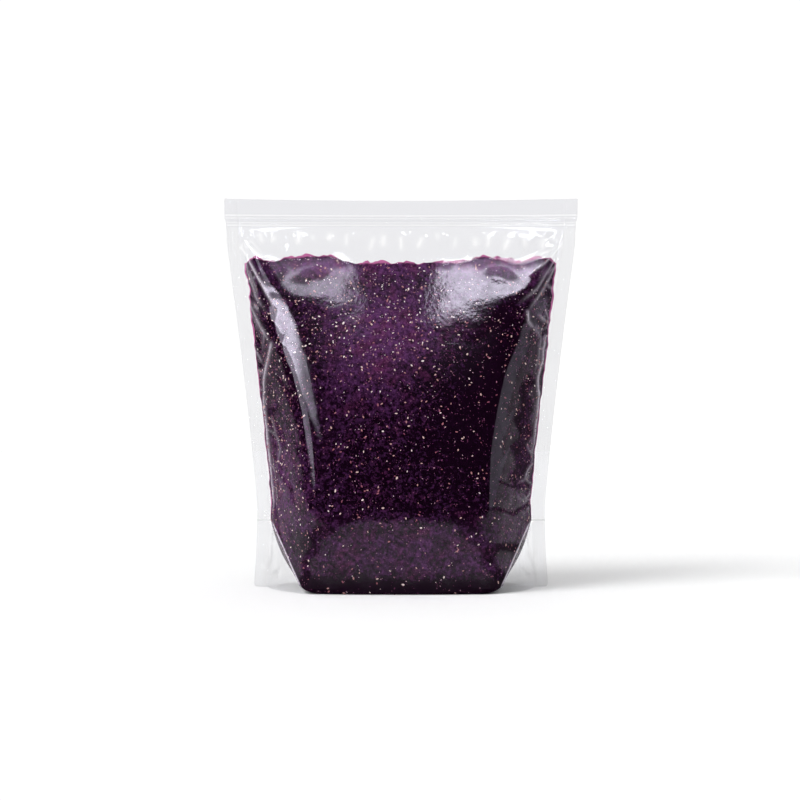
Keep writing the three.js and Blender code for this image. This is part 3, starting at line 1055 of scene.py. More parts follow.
def against_jam(side, fill_height):
    """1 where jam lies against a panel and carries the film's gloss, nearly 1 on the floor, and 0 elsewhere
    """
    level, _ = jam_top(Film.across[0], fill_height, side)
    below = smooth(level - Film.panels[side][..., 2], -0.3 * MM, 1.2 * MM)
    on_jam = below * smooth(jam_reach(Film.up, Film.across > 0) - np.abs(Film.across), -1.5 * MM, 1.5 * MM)
    return np.maximum(on_jam, 0.9 * (1 - smooth(Film.up, 4 * MM, 9 * MM)))


def kept_lines():
    """Rows and columns of the fine grid that the film's mesh keeps: all where it is clear or creased"""
    up, across = Film.up[:, 0], Film.across[0]
    row, column = np.arange(len(up)), np.arange(len(across))
    body = up < BODY_LENGTH
    fine_rows = (up > BODY_LENGTH - 30 * MM) | (up < 0.6 * GUSSET_HEIGHT)
    rows = np.where(body, (row % 2 == 0) | fine_rows, row % FINE == 0)
    to_seam = INNER_HALF - np.abs(across)
    columns = (column % 2 == 0) | ((to_seam > 0) & (to_seam < 22 * MM))
    return np.ix_(rows, columns)


LEG_LINES = (
    # half width, how white; then points across, height: in mm, seen from the front
    (0.9, 0.8, (87, 14), (90, 10), (95, 7)),
    (0.8, 1.0, (94, 8), (98, 2)),
    (1.0, 0.7, (93, 23), (95.5, 10), (99, 3)),
    (0.8, 0.5, (75, 7), (86, 8.5), (94, 6)),
    (0.9, 0.8, (-98, 15), (-94.5, 10), (-90, 11.5)),
    (0.9, 0.9, (-91.5, 17), (-94, 11), (-95.7, 4)),
    (0.8, 0.6, (-82, 2), (-74, 5)),
    (0.8, 0.5, (-97, 30), (-92, 22), (-89, 12)),
)
LEG_SHADES = (
    # half width, how dark; then points across, height: in mm, seen from the front
    (3.6, 0.5, (73, 3), (91, 4)),
    (1.2, 0.9, (85.5, 15), (88.5, 10.5), (94, 8.5)),
    (1.2, 0.9, (91.5, 24), (94, 10), (97.5, 3)),
    (1.2, 0.8, (-99.5, 14), (-96, 9), (-91, 10)),
    (2.6, 0.5, (-98, 6), (-89, 8)),
    (1.2, 0.8, (-93, 18), (-95.5, 11), (-97.2, 4)),
    (1.2, 0.6, (-84, 3.5), (-76, 6.5)),
    (1.2, 0.6, (-98, 32), (-93.5, 22), (-91, 12)),
)
WRINKLES = (
    # tall, wide: in mm; seed
    (11.0, 2.6, 53),
    (5.0, 1.6, 57),
)
WRINKLE_WIDTH = 0.22
WRINKLE_WHITE = 0.5
RAYS = (222, 226, 251, 253)  # heights in mm between which rays and flecks are seen
# Patches of painted shade
SHADE_PATCHES = (6.0, 3.5, 67)  # tall, wide: in mm; seed
SHADED_CORNERS = (224, 232, 249, 253)  # heights in mm between which shade is painted beside the top corners
SHADED_CORNER_REACH = (0, 3 * MM, 16 * MM, 40 * MM)  # and how far in from the seams


def panel_place(side):
    """A panel's points in mm as its own side shows them, and how far each is from seam and weld"""
    across = np.abs(Film.across)
    x, z = -side * Film.panels[side][..., 0] / MM, Film.panels[side][..., 2] / MM
    return x, z, INNER_HALF - across, across - FOOT_FLAT - Film.up


def paint_film_shade(side):
    """Painted shade on the clear film: grey lines and patches in the legs, and grey patches beside the top
    corners
    """
    x, z, to_seam, past_weld = panel_place(side)
    leg = smooth(past_weld, 1 * MM, 6 * MM) * smooth(to_seam, -6 * MM, 0) * (Film.up < GUSSET_HEIGHT)
    shades = np.zeros(z.shape)
    for width, dark, *points in LEG_SHADES:
        shades = np.maximum(shades, dark * drawn_line(x, z, points, width))
    tall, wide, seed = SHADE_PATCHES
    patches = np.clip(soft_noise(z.shape, tall, wide, seed + side), 0, 1.6)
    corner = band(z, *SHADED_CORNERS) * band(to_seam, *SHADED_CORNER_REACH)
    return np.maximum(shades, 0.12 * patches) * leg + 0.3 * patches * corner


def bright_film(side):
    """Where the clear film catches light: rays from the top corners, flecks, and the legs' wrinkles"""
    x, z, to_seam, past_weld = panel_place(side)
    white = np.maximum(all_creases(Film.across, z, side)[1], strip_flecks(Film.across, z))
    white *= smooth(to_seam, -1 * MM, 0) * band(z, *RAYS)
    leg = smooth(past_weld, 1 * MM, 6 * MM) * smooth(to_seam, -4 * MM, 2 * MM) * (Film.up < GUSSET_HEIGHT)
    for tall, wide, seed in WRINKLES:
        wrinkles = np.exp(-(soft_noise(z.shape, tall, wide, seed + side) / WRINKLE_WIDTH) ** 2)
        white = np.maximum(white, WRINKLE_WHITE * wrinkles * leg)
    for width, whiteness, *points in LEG_LINES:
        line = np.where(Film.up < GUSSET_HEIGHT, whiteness * drawn_line(x, z, points, width), 0)
        white = np.maximum(white, line)
    weld_line = band(past_weld, -0.6 * MM, 0.4 * MM, 1.2 * MM, 2.2 * MM)
    return np.maximum(white, weld_line * (Film.up < GUSSET_HEIGHT + 1 * MM))


class POUCH_OT_make_panels(bpy.types.Operator):
    """Makes the front and back film with their seals, header and leg webs"""

    bl_idname = "pouch.make_panels"
    bl_label = "Film panels"

    def execute(self, context):
        settings = context.scene.pouch_film
        material = film_finish(settings)
        kept = kept_lines()
        for name, side in (("film_front", -1), ("film_back", 1)):
            panel = new_sheet(name, Film.panels[side][kept])
            set_uv(panel, np.stack([Film.across[kept], Film.up[kept]], axis=-1))
            if side > 0:
                flip(panel)
            paint(panel, "white", bright_film(side)[kept])
            paint(panel, "dim", paint_film_shade(side)[kept])
            paint(panel, "on_jam", against_jam(side, settings.fill_height)[kept])
            apply_modifier(panel, "SOLIDIFY", thickness=settings.thickness, offset=0)
            smooth_faces(panel)
            finish_piece(panel, material, "film", "pouch")
        return {"FINISHED"}


BASE_ROWS = 16
BASE_COLUMNS = 61
WELD_ROWS = 17


def underside(front, back, lift, swell):
    """A sheet from the front edge of the base to its back edge, rising at both ends to the side seals.

    front and back hold the same number of points, from the left end to the right end.
    """
    share = ((1 - np.cos(np.pi * np.linspace(0, 1, BASE_ROWS + 1))) / 2)[:, None, None]
    points = front[None] * (1 - share) + back[None] * share
    rise = np.clip(front[:, 2] / GUSSET_HEIGHT, 0, 1)
    out = swell * np.sin(np.pi * rise) * np.sin(np.pi * share[..., 0])
    points[..., 0] += np.sign(points[..., 0]) * out * FACET_SWELL_WAY[0]
    points[..., 2] += out * FACET_SWELL_WAY[1]
    points[..., 2] = np.maximum(points[..., 2], lift)
    return points


def foot_rise(across):
    """How far the weld has risen from the base edge, as it rounds the corner of the foot"""
    run = np.clip(np.abs(across) - (FOOT_FLAT + CORNER_LIFT - CORNER_RUN), 0, CORNER_RUN)
    return CORNER_LIFT * (run / CORNER_RUN) ** 2


def gusset_path(side, first_up, rows, columns):
    """Down one gusset weld, across the base edge and up the other weld, on one panel"""
    up = np.linspace(GUSSET_HEIGHT, first_up + CORNER_LIFT, rows)
    base = np.linspace(-1, 1, columns) * (FOOT_FLAT + first_up + CORNER_LIFT)
    across = np.concatenate([-(FOOT_FLAT + up), base[1:-1], (FOOT_FLAT + up)[::-1]])
    height = np.concatenate([up, first_up + foot_rise(base[1:-1]), up[::-1]])
    return Film.at(side, across, height)


class POUCH_OT_make_base(bpy.types.Operator):
    """Makes the gusset film that the pouch stands on"""

    bl_idname = "pouch.make_base"
    bl_label = "Gusset film"

    def execute(self, context):
        settings = context.scene.pouch_film
        front, back = (gusset_path(side, 0, WELD_ROWS, BASE_COLUMNS) for side in (-1, 1))
        points = underside(front, back, BASE_LIFT, FACET_SWELL)
        base = new_sheet("film_base", points)
        set_uv(base, points[..., :2])
        flip(base)
        paint(base, "on_jam", np.ones(points.shape[:2]))
        apply_modifier(base, "SOLIDIFY", thickness=settings.thickness, offset=0)
        smooth_faces(base)
        finish_piece(base, bpy.data.materials["clear_film"], "film", "pouch")
        return {"FINISHED"}


STRIP_COLUMNS = 96
STRIP_HALF = 0.45 * MM
STRIP_THIN = 0.2 * MM
STRIP_EDGE = 1.9 * MM


class POUCH_OT_make_strip(bpy.types.Operator):
    """Makes the press-to-close strip under the header"""

    bl_idname = "pouch.make_strip"
    bl_label = "Closing strip"

    def execute(self, context):
        low, high = STRIP_LOW[2], STRIP_HIGH[2]
        middle = (low + high) / 2
        heights = [low, low + 0.3 * STRIP_EDGE, low + STRIP_EDGE, low + 1.15 * STRIP_EDGE]
        widths = [0.6 * STRIP_HALF, STRIP_HALF, STRIP_HALF, STRIP_THIN]
        heights += [low + high - z for z in reversed(heights)]
        widths += list(reversed(widths))
        loop_z = np.array(heights + heights[::-1] + heights[:1])
        loop_y = np.array([-w for w in widths] + widths[::-1] + [-widths[0]])
        x = np.linspace(STRIP_LOW[0], STRIP_HIGH[0], STRIP_COLUMNS + 1)
        x = np.concatenate([x[:1], x, x[-1:]])
        points = np.zeros((len(loop_z), len(x), 3))
        points[..., 0] = x
        points[..., 1] = loop_y[:, None]
        dip = TOP_DIP * (1 - (x / HALF_WIDTH) ** 2) * (middle - BODY_TOP) / HEADER_LENGTH
        points[..., 2] = loop_z[:, None] - dip
        for end in (0, -1):
            points[:, end, 1] = 0
            points[:, end, 2] = middle - dip[end]
        strip = new_sheet("closing_strip", points)
        weld(strip, 0.001 * MM)
        smooth_faces(strip)
        make = Finish("strip_plastic")
        shader = make.blend(
            make.mirror_share(CLEAR_MIRROR), make.clear(grey(0.99)), make.gloss(grey(1), 0.12))
        finish_piece(strip, make.finish(shader), "strip", "zip_strip")
        return {"FINISHED"}


JAM_LOW_ROWS = 34
JAM_HIGH_ROWS = 150
JAM_COLUMNS = 190
SEAM_CROWDING = 0.5
CAP_ROWS = 10
WAVES = 12
LONGEST_WAVE = 70 * MM
TOP_SWELLS = (
    # across, half width, height: in mm
    (-103, 6, 3.6), (-80, 7, 2.0), (-57, 12, 4.4), (60, 10, 3.6), (102, 7, 3.4),
    (-5, 30, -1.2), (84, 8, -1.2),
)
TOP_SEEDS = {-1: 11, 1: 12}  # front, back
TOP_RIPPLE = 0.8 * MM
SMEAR_WAVE = 1.4
SMEAR_LIMITS = (0.08, 1.4)
CALM_EDGE = 8 * MM
WELD_WHITE = 0.85
LIP = 2.6 * MM
LIP_WALL = 0.35 * MM
LIP_STEPS = (
    # how far in from the film, in walls of the lip; how far down, as a share of the lip; how thin
    (1, 0.0, 1),
    (2, 0.55, 0.8),
    (5, 1.0, 0.2),
)


def jam_top(across, fill_height, side):
    """Height of the jam's edge against the film, and how far a thin smear reaches above it"""
    waves = np.random.default_rng(TOP_SEEDS[side])
    level = np.full(across.shape, float(fill_height))
    for centre, width, height in TOP_SWELLS:
        level += height * MM * np.exp(-0.5 * ((side * across / MM + centre) / width) ** 2)
    smear = np.zeros(across.shape)
    for number in range(1, WAVES + 1):
        turn = 2 * np.pi * across * number / LONGEST_WAVE
        level += TOP_RIPPLE / (number + 1) * np.sin(turn + waves.uniform(0, 2 * np.pi))
        smear += SMEAR_WAVE * np.sin(1.3 * turn + waves.uniform(0, 2 * np.pi)) / (number + 1)
    smear = LIP * np.clip(0.5 + 0.5 * smear, *SMEAR_LIMITS)
    edge = 1 - smooth(np.abs(across), INNER_HALF - CALM_EDGE, INNER_HALF)
    return fill_height + (level - fill_height) * (0.5 + 0.5 * edge), smear * (0.3 + 0.7 * edge)


def jam_reach(up, right):
    """How far across the flat cut the jam spreads: to the weld, or into the flat strip beside the seam"""
    squeezed = 0.75 + 0.25 * np.sin(up / (7 * MM) + np.where(right, 0.4, 2.6))
    return np.minimum(FOOT_FLAT + up, INNER_HALF) - flat_beside_seam(up, right) * squeezed


def up_to(side, spread, height):
    """How far up the flat cut a panel reaches a height, at each column of the jam's sheet"""
    panel = Film.panels[side]
    body = slice(FINE * GUSSET_ROWS, FINE * BODY_ROWS + 1)
    seal = FINE * SEAL_COLUMNS
    columns = np.round(FINE * ((spread * INNER_HALF + INNER_HALF) / CUT_STEP + SEAL_COLUMNS)).astype(int)
    up = np.empty_like(height)
    for index, column in enumerate(np.clip(columns, seal, panel.shape[1] - 1 - seal)):
        heights = np.maximum.accumulate(panel[body, column, 2])
        up[index] = np.interp(height[index], heights, Film.up[body, column])
    return up


def jam_cut(spread, top):
    """Where the jam's sheet lies on the flat cut: across and up, for each of its rows and columns"""
    bottom = JAM_LIFT + foot_rise(spread * (FOOT_FLAT + CORNER_LIFT))
    low = bottom + (GUSSET_HEIGHT - bottom) * np.linspace(0, 1, JAM_LOW_ROWS + 1)[:, None]
    rise = np.linspace(0, 1, JAM_HIGH_ROWS + 1)[1:, None]
    up = np.concatenate([low, GUSSET_HEIGHT + rise * (top - GUSSET_HEIGHT)])
    return spread * jam_reach(up, spread > 0), up


def jam_white(side, across, up, z):
    """Where light catches in the film over the jam: along creases and along the weld of the base"""
    white = all_creases(across, z / MM, side)[1] * smooth(up, GUSSET_HEIGHT, GUSSET_HEIGHT + 20 * MM)
    to_weld = jam_reach(up, across > 0) - np.abs(across)
    on_weld = 1 - smooth(to_weld, 1.0 * MM, 2.8 * MM)
    on_weld *= band(up, 1 * MM, 9 * MM, GUSSET_HEIGHT - 4 * MM, GUSSET_HEIGHT)
    return np.maximum(white, WELD_WHITE * on_weld)


def jam_sheet(side, fill_height):
    """The jam's skin against one panel: points, how thin it is, which way the film faces, how white"""
    spread = np.linspace(-1, 1, JAM_COLUMNS + 1)
    spread += SEAM_CROWDING * np.sin(np.pi * spread) / np.pi
    level, smear = jam_top(spread * INNER_HALF, fill_height, side)
    across, up = jam_cut(spread, up_to(side, spread, level + smear))
    skin = Film.at(side, across, up)
    other = Film.at(-side, across, up)
    outward = Film.at(side, across, up, Film.normals)
    depth = np.abs(skin[..., 1] - other[..., 1])
    points = skin - outward * JAM_SUNK * np.clip(depth / (2 * MM), 0, 1)[..., None]
    for end in (0, -1):
        points[:JAM_LOW_ROWS, end] = skin[:JAM_LOW_ROWS, end]
        points[JAM_LOW_ROWS:, end] = (skin[JAM_LOW_ROWS:, end] + other[JAM_LOW_ROWS:, end]) / 2
    z = points[..., 2]
    thin_depth = (1.3 + 2.2 * smooth(z, 140 * MM, 215 * MM)) * MM
    thin = (1 - smooth(depth, 0.3 * MM, thin_depth)) * smooth(up, GUSSET_HEIGHT / 2, GUSSET_HEIGHT)
    bare = 1 - smooth(level - z, -1.5 * MM, 0.8 * MM)
    return points, np.maximum(thin, bare), outward, jam_white(side, across, up, z)


def jam_part(name, points, thin, outward=(0, 0, 0), white=0):
    """A sheet of the jam's surface, painted with how thin and white it is and which way the film faces"""
    sheet = new_sheet(name, points)
    for label, values in (("thin", thin), ("white", white)):
        paint(sheet, label, np.broadcast_to(values, points.shape[:2]))
    paint(sheet, "facing", np.broadcast_to(outward, points.shape), "FLOAT_VECTOR")
    return sheet


class POUCH_OT_make_jam(bpy.types.Operator):
    """Fills the film with jam up to its uneven top edge"""

    bl_idname = "pouch.make_jam"
    bl_label = "Jam"

    def execute(self, context):
        fill_height = context.scene.pouch_film.fill_height
        skins = {}
        rims = []
        sheets = []
        for side in (-1, 1):
            points, thin, outward, white = jam_sheet(side, fill_height)
            skins[side] = points
            left, right = points[JAM_LOW_ROWS::-1, 0], points[:JAM_LOW_ROWS + 1, -1]
            rims.append(np.concatenate([left, points[0, 1:-1], right]))
            sheets.append(jam_part("jam_skin", points, thin, outward, white))
        foot = underside(rims[0], rims[1], JAM_LIFT, FACET_SWELL)
        foot[1:-1, :, 0] -= np.sign(foot[1:-1, :, 0]) * JAM_SUNK * (foot[1:-1, :, 2] > JAM_LIFT)
        sheets.append(jam_part("jam_foot", foot, 0))
        sheets.append(jam_part("jam_cap", *jam_cap(skins)))
        jam = join(sheets, "jam_body")
        weld(jam, 0.004 * MM)
        shade_smooth(jam)
        face_as_painted(jam, "facing")
        body = read_points(jam.data)
        # Painted shade: the film's reflection is turned down on faces that look down
        underneath = smooth(-read(jam.data.vertex_normals, "vector")[:, 2], 0.1, 0.4)
        paint(jam, "shine", shine(body) * (1 - PAINTED_SHADE_UNDERNEATH * underneath))
        # Painted light and painted shade, with paler fruit: zones of the jam made lighter or darker
        paint(jam, "pale", more_in_zones(body, PAINTED_LIGHT_SHADE_AND_FRUIT_ZONES))
        finish_piece(jam, jam_finish(context.scene.pouch_jam), "jam", "pouch")
        return {"FINISHED"}


PAINTED_LIGHT_SHADE_AND_FRUIT_ZONES = (
    # across, height, half width, half height, how pale: on the front, and on the back from behind. Partly
    # paler fruit, partly painted light and painted shade: lighter in the upper middle and along the top,
    # darker on the right and at the bottom
    (-8, 186, 36, 24, 0.28),
    (-20, 146, 30, 30, 0.08),
    (50, 120, 24, 44, -0.2),
    (72, 165, 16, 34, -0.2),
    (-66, 160, 10, 40, -0.12),
    (-84, 62, 14, 36, 0.2),
    (88, 110, 12, 60, 0.14),
    (0, 26, 60, 16, 0.12),
    (0, 0, 200, 6, -0.8),
    (-62, 226, 22, 5, 0.35),
    (66, 226, 24, 6, 0.4),
    (0, 226, 40, 4, 0.2),
    (76, 29, 9, 3.5, -0.35),
    (-66, 34, 7, 5, -0.3),
)
PAINTED_SHADE_SPOTS = (
    # across, height, half width, half height, lean in degrees: painted shade, where the film's reflection
    # over the jam is taken out
    (-62, 220, 14, 6.5, 12),
    (70, 221, 14, 4.2, -12),
    (-90, 220, 12, 9, -20),
)
PAINTED_SHADE_LINES = (
    # from across, height; to across, height; half width: painted shade lines, where the film's reflection
    # over the jam is taken out
    (-70, 2, -58, 38, 4.5),
    (-58, 38, -38, 54, 6.0),
    (70, 2, 56, 34, 5.0),
    (56, 34, 38, 54, 7.0),
    (60, 30, 84, 31, 4.0),
    (89, 145, 86.5, 132, 6.0),
    (86.5, 132, 83, 76, 8.0),
    (112, 219, 48, 176, 7.0),
    (-92, 205, -52, 192, 3.0),
    (-92, 124, -84, 101, 5.5),
    (-92.6, 97, -86, 87, 2.6),
    (-86, 87, -78.6, 74.5, 2.6),
    (-78.6, 74.5, -74.3, 63, 2.4),
    (61, 59, 74, 54, 1.8),
    (74, 54, 91, 59, 1.8),
    (68, 75, 93, 70, 1.7),
    (79, 101, 92, 89, 1.7),
)
PAINTED_SHADE_ZONES = (
    # across, height, half width, half height, how dull: painted shade, where the film's reflection over the
    # jam is taken out
    (-62, 142, 6, 14, 0.8),
    (-54, 115, 7, 18, 1.0),
    (-67.5, 174, 3.5, 20, 0.8),
    (34, 181, 20, 6, 1.0),
)


def seen_place(points):
    """Across and height of points in mm, as someone before that side of the pouch sees them"""
    return np.where(points[..., 1] < 0, 1, -1) * points[..., 0] / MM, points[..., 2] / MM


def more_in_zones(points, zones):
    """How much more, or less, of something there is at points of the jam, added up over soft zones"""
    x, z = seen_place(points)
    amount = np.zeros(x.shape)
    for centre_x, centre_z, wide, tall, more in zones:
        amount += more * np.exp(-0.5 * (((x - centre_x) / wide) ** 2 + ((z - centre_z) / tall) ** 2))
    return amount


def shine(points):
    """How well the film shines at points of the jam. Painted shade: the reflection is taken out over hollows,
    along creases, near the top rim and towards the bottom
    """
    x, z = seen_place(points)
    painted_shade_amount = np.clip(more_in_zones(points, PAINTED_SHADE_ZONES), 0, 1)
    wander_x = 2.0 * np.sin(z / 3.1 + 1) + 1.0 * np.sin(x / 2.7 + z / 4.3)
    wander_z = 1.2 * np.sin(x / 4.1 + 0.5) + 0.6 * np.sin(x / 1.9 + z / 2.3)
    x, z = x + wander_x, z + wander_z
    for centre_x, centre_z, wide, tall, lean in PAINTED_SHADE_SPOTS:
        along, beside = turned(x, z, centre_x, centre_z, lean)
        painted_shade_amount = np.maximum(painted_shade_amount, 1 - smooth(np.hypot(along / wide, beside / tall), 0.8, 1.15))
    for x0, z0, x1, z1, half in PAINTED_SHADE_LINES:
        _, away = beside_line(x, z, (x0, z0), (x1, z1))
        painted_shade_amount = np.maximum(painted_shade_amount, 1 - smooth(away, 0.5 * half, half))
    # No reflection near the jam's top rim, and painted shade towards the bottom
    painted_shade_amount = np.maximum(painted_shade_amount, smooth(z, 222, 228))
    painted_shade_amount = np.maximum(painted_shade_amount, 1 - smooth(z, 3, 16))
    return 1 - MOST_PAINTED_SHADE * painted_shade_amount


def jam_cap(skins):
    """The jam's top: from the smear down the front film, over the surface, and up to the back smear"""
    front, back = skins[-1][-1], skins[1][-1]
    gap = np.clip((back[:, 1] - front[:, 1]) / (4 * MM), 0, 1)[:, None]
    rims = {}
    for name, edge, inward in (("front", front, 1.0), ("back", back, -1.0)):
        rims[name] = [edge] + [
            edge + gap * np.array([0, inward * step * LIP_WALL, -drop * LIP]) for step, drop, _ in LIP_STEPS]
    middle = np.linspace(0, 1, CAP_ROWS + 2)[1:-1]
    surface = [rims["front"][-1] * (1 - share) + rims["back"][-1] * share for share in middle]
    bare = [1] + [thin for _, _, thin in LIP_STEPS]
    bare = bare + [0] * CAP_ROWS + bare[::-1]
    cap = np.stack(rims["front"] + surface + rims["back"][::-1])
    return cap, np.repeat(np.array(bare, dtype=float)[:, None], len(front), axis=1)


SKIN_GLOSS = 0.055
SKIN_SHEEN = (1.0, 0.9, 1.0, 1)
SKIN_RELIEF = 0.035 * MM
WET_LEAST = 0.66
PAINTED_SHADE_UNDERNEATH = 0.75
MOST_PAINTED_SHADE = 0.8


def jam_finish(settings):
    """Dark pulp with paler fruit, painted lighter and darker in zones for light and shade, and magenta where
    light comes through it
    """
    make = Finish("bramble_jam")
    place_on = make.object_place()
    pulp = make.noise(place_on, 260, 4, 0.7)
    cells = make.node("ShaderNodeTexVoronoi", {}, {"Vector": place_on, "Scale": 420}, output="Distance")
    broad = make.noise(place_on, 14, 1)
    fine = make.noise(place_on, 900, 2, 0.6)
    # The 'pale' zones carry painted light and painted shade into the pulp colour
    mottle = pulp * 1.45 + fine * 0.75 + broad * 0.35 - cells * 0.35 + make.attribute("pale") * 1.3 - 1.04
    redder = make.steps(make.noise(place_on, 75, 2, 0.6), (0.47, 0), (0.68, 1))
    fruit = make.mix(redder, opaque(settings.fruit), opaque(settings.flesh))
    body = make.mix(make.steps(mottle, (0.0, 0), (0.25, 0.2), (0.9, 1)), opaque(settings.deep), fruit)
    broken = make.steps(make.attribute("thin") + (fine - 0.5) * 0.6, (0.35, 0), (0.8, 1))
    colour = make.mix(broken, body, opaque(settings.thin))
    colour = make.mix(make.attribute("white") * (fine * 1.2 + 0.4), colour, opaque(settings.crease))
    return make.finish(under_film(make, colour, place_on))


def under_film(make, colour, place_on):
    """A matt surface seen through the shiny film that lies on it, a little unevenly, over pulp and seeds"""
    normal = make.bump(make.noise(place_on, 330, 3, 0.6), SKIN_RELIEF, 1.0)
    matt = make.node(
        "ShaderNodeBsdfPrincipled", {}, {"Base Color": colour, "Roughness": 0.6, "Specular IOR Level": 0.0})
    wet = make.steps(make.noise(place_on, 190, 3, 0.6), (0.3, WET_LEAST), (0.62, 1))
    # The film's reflection follows a painted mask, which paints shade where it is low
    share = make.mirror_share(SKIN_MIRROR, normal) * make.attribute("shine") * wet
    return make.blend(share, matt, make.gloss(SKIN_SHEEN, SKIN_GLOSS, normal))


SEED_KINDS = {
    "seeds_whole": dict(
        count="seed_count", faces=2, scale=1.0, spread=0.28, seed=21,
        colours=((0.0, (0.14, 0.04, 0.065)), (0.35, (0.33, 0.12, 0.14)), (0.65, (0.54, 0.33, 0.29)),
                 (0.88, (0.82, 0.66, 0.6)))),
    "seeds_small": dict(
        count="small_count", faces=1, scale=0.5, spread=0.3, seed=23,
        colours=((0.0, (0.08, 0.02, 0.07)), (0.5, (0.2, 0.08, 0.16)), (0.8, (0.46, 0.3, 0.36)))),
    "seeds_flecks": dict(
        count="fleck_count", faces=1, scale=0.5, spread=0.3, seed=22,
        colours=((0.0, (0.012, 0.002, 0.012)), (0.5, (0.05, 0.012, 0.045)), (0.85, (0.13, 0.045, 0.1)),
                 (1.0, (0.3, 0.16, 0.2)))),
}
SEED_STAIN = (0.2, 0.05, 0.09)
SEED_ZONES = (
    # across, height, half width, half height, how many more
    (-20, 188, 54, 34, 1.5),
    (0, 14, 90, 20, -0.45),
    (60, 155, 26, 46, -0.3),
    (-88, 120, 13, 60, 2.3),
    (90, 120, 10, 60, 1.3),
)
PALER_SEEDS = (
    # across, height, half width, half height, how much paler
    (-10, 190, 60, 30, 0.22),
    (62, 130, 24, 40, -0.08),
)
SEED_PROUD = 0.19 * MM
SEED_WIDTH_SHARE = 0.52
SEED_DEPTH_SHARE = 0.34
SEED_LEAST_DEPTH = 0.16 * MM
SEED_TAPER = 0.25
SEEDLESS_EDGE = 0.3


class POUCH_OT_make_seeds(bpy.types.Operator):
    """Scatters seeds and flecks of skin just under the film, all over the jam"""

    bl_idname = "pouch.make_seeds"
    bl_label = "Seeds"

    def execute(self, context):
        settings = context.scene.pouch_jam
        for name, kind in SEED_KINDS.items():
            seeds = scatter(name, bpy.data.objects["jam_body"], settings, kind)
            finish_piece(seeds, seed_finish(settings, name, kind["colours"]), "seeds")
        return {"FINISHED"}


def seats(mesh, count, chance):
    """Chance places on the jam's skin, none of them on its thin edge, and which way the film faces there"""
    mesh.calc_loop_triangles()
    corners = read(mesh.loop_triangles, "loops", 3, np.int32)
    facing = read(mesh.corner_normals, "vector")[corners].astype(float)
    corners = read(mesh.loop_triangles, "vertices", 3, np.int32)
    points = read_points(mesh)[corners]
    thin = read(mesh.attributes["thin"].data, "value", 1)[corners].max(axis=1)
    area = np.linalg.norm(np.cross(points[:, 1] - points[:, 0], points[:, 2] - points[:, 0]), axis=1)
    area = np.where(thin > SEEDLESS_EDGE, 0, area * (1 + more_in_zones(points.mean(axis=1), SEED_ZONES)))
    chosen = chance.choice(len(area), size=count, p=area / area.sum())
    first, second = chance.random((2, count, 1))
    folded = first + second > 1
    first, second = np.where(folded, 1 - first, first), np.where(folded, 1 - second, second)
    corner, facing = points[chosen], facing[chosen]
    seat = corner[:, 0] + first * (corner[:, 1] - corner[:, 0]) + second * (corner[:, 2] - corner[:, 0])
    out = facing[:, 0] * (1 - first - second) + facing[:, 1] * first + facing[:, 2] * second
    return seat, out / np.linalg.norm(out, axis=1, keepdims=True)


def seed_model(subdivisions):
    """The points and faces of one seed, narrower towards one end"""
    bpy.ops.object.select_all(action="DESELECT")
    bpy.ops.mesh.primitive_ico_sphere_add(subdivisions=subdivisions, radius=1)
    model = bpy.context.object
    points = read_points(model.data)
    faces = np.array([list(face.vertices) for face in model.data.polygons])
    bpy.data.objects.remove(model)
    points[:, 1] *= 1 - SEED_TAPER * points[:, 0]
    return points, faces


def scatter(name, jam, settings, kind):
    """One mesh of many seeds, each lying flat against the jam's skin"""
    chance = np.random.default_rng(kind["seed"])
    count = getattr(settings, kind["count"])
    seat, out = seats(jam.data, count, chance)
    along = np.cross(out, chance.normal(size=(count, 3)))
    along /= np.linalg.norm(along, axis=1, keepdims=True)
    half = kind["scale"] * settings.seed_length / 2 * np.exp(chance.normal(0, kind["spread"], (count, 1)))
    wide = half * SEED_WIDTH_SHARE * chance.uniform(0.85, 1.2, (count, 1))
    deep = np.maximum(half * SEED_DEPTH_SHARE, SEED_LEAST_DEPTH)
    seat = seat + out * (SEED_PROUD * chance.uniform(0.55, 1, (count, 1)) - deep)

    model, faces = seed_model(kind["faces"])
    points = seat[:, None]
    for axis, reach in enumerate((half * along, wide * np.cross(out, along), deep * out)):
        points = points + model[:, axis, None] * reach[:, None]
    faces = (faces[None] + len(model) * np.arange(count)[:, None, None]).reshape(-1, 3)
    grown = bpy.data.meshes.new(name)
    grown.from_pydata(points.reshape(-1, 3).tolist(), [], faces.tolist())
    seeds = bpy.data.objects.new(name, grown)
    bpy.context.scene.collection.objects.link(seeds)
    shade_smooth(seeds)
    paleness = np.clip(chance.random(count) + more_in_zones(seat, PALER_SEEDS), 0, 1)
    paint(seeds, "kind", np.repeat(paleness, len(model)))
    # The seeds carry the same painted shade as the jam around them
    paint(seeds, "shine", np.repeat(shine(seat), len(model)))
    paint(seeds, "facing", np.repeat(out, len(model), axis=0), "FLOAT_VECTOR")
    face_as_painted(seeds, "facing")
    return seeds


def seed_finish(settings, name, colours):
    """Cream to rusty pink for seeds, and wine to plum for flecks, stained in places by the juice"""
    make = Finish(name)
    stops = [(place, opaque(colour)) for place, colour in colours]
    if stops[-1][0] < 1:
        stops.append((1.0, opaque(settings.seed)))
    colour = make.ramp(make.attribute("kind"), stops)
    place_on = make.object_place()
    stained = make.mix(make.noise(place_on, 1500, 2) * 0.5, colour, opaque(SEED_STAIN))
    return make.finish(under_film(make, stained, place_on))


class POUCH_OT_set_stage(bpy.types.Operator):
    """Sets the pale floor, the soft lamps and the camera"""

    bl_idname = "pouch.set_stage"
    bl_label = "Stage"

    def execute(self, context):
        settings = context.scene.pouch_stage
        set_floor(settings)
        set_lamps()
        set_world()
        set_camera(settings)
        context.scene.view_settings.view_transform = "Standard"
        return {"FINISHED"}


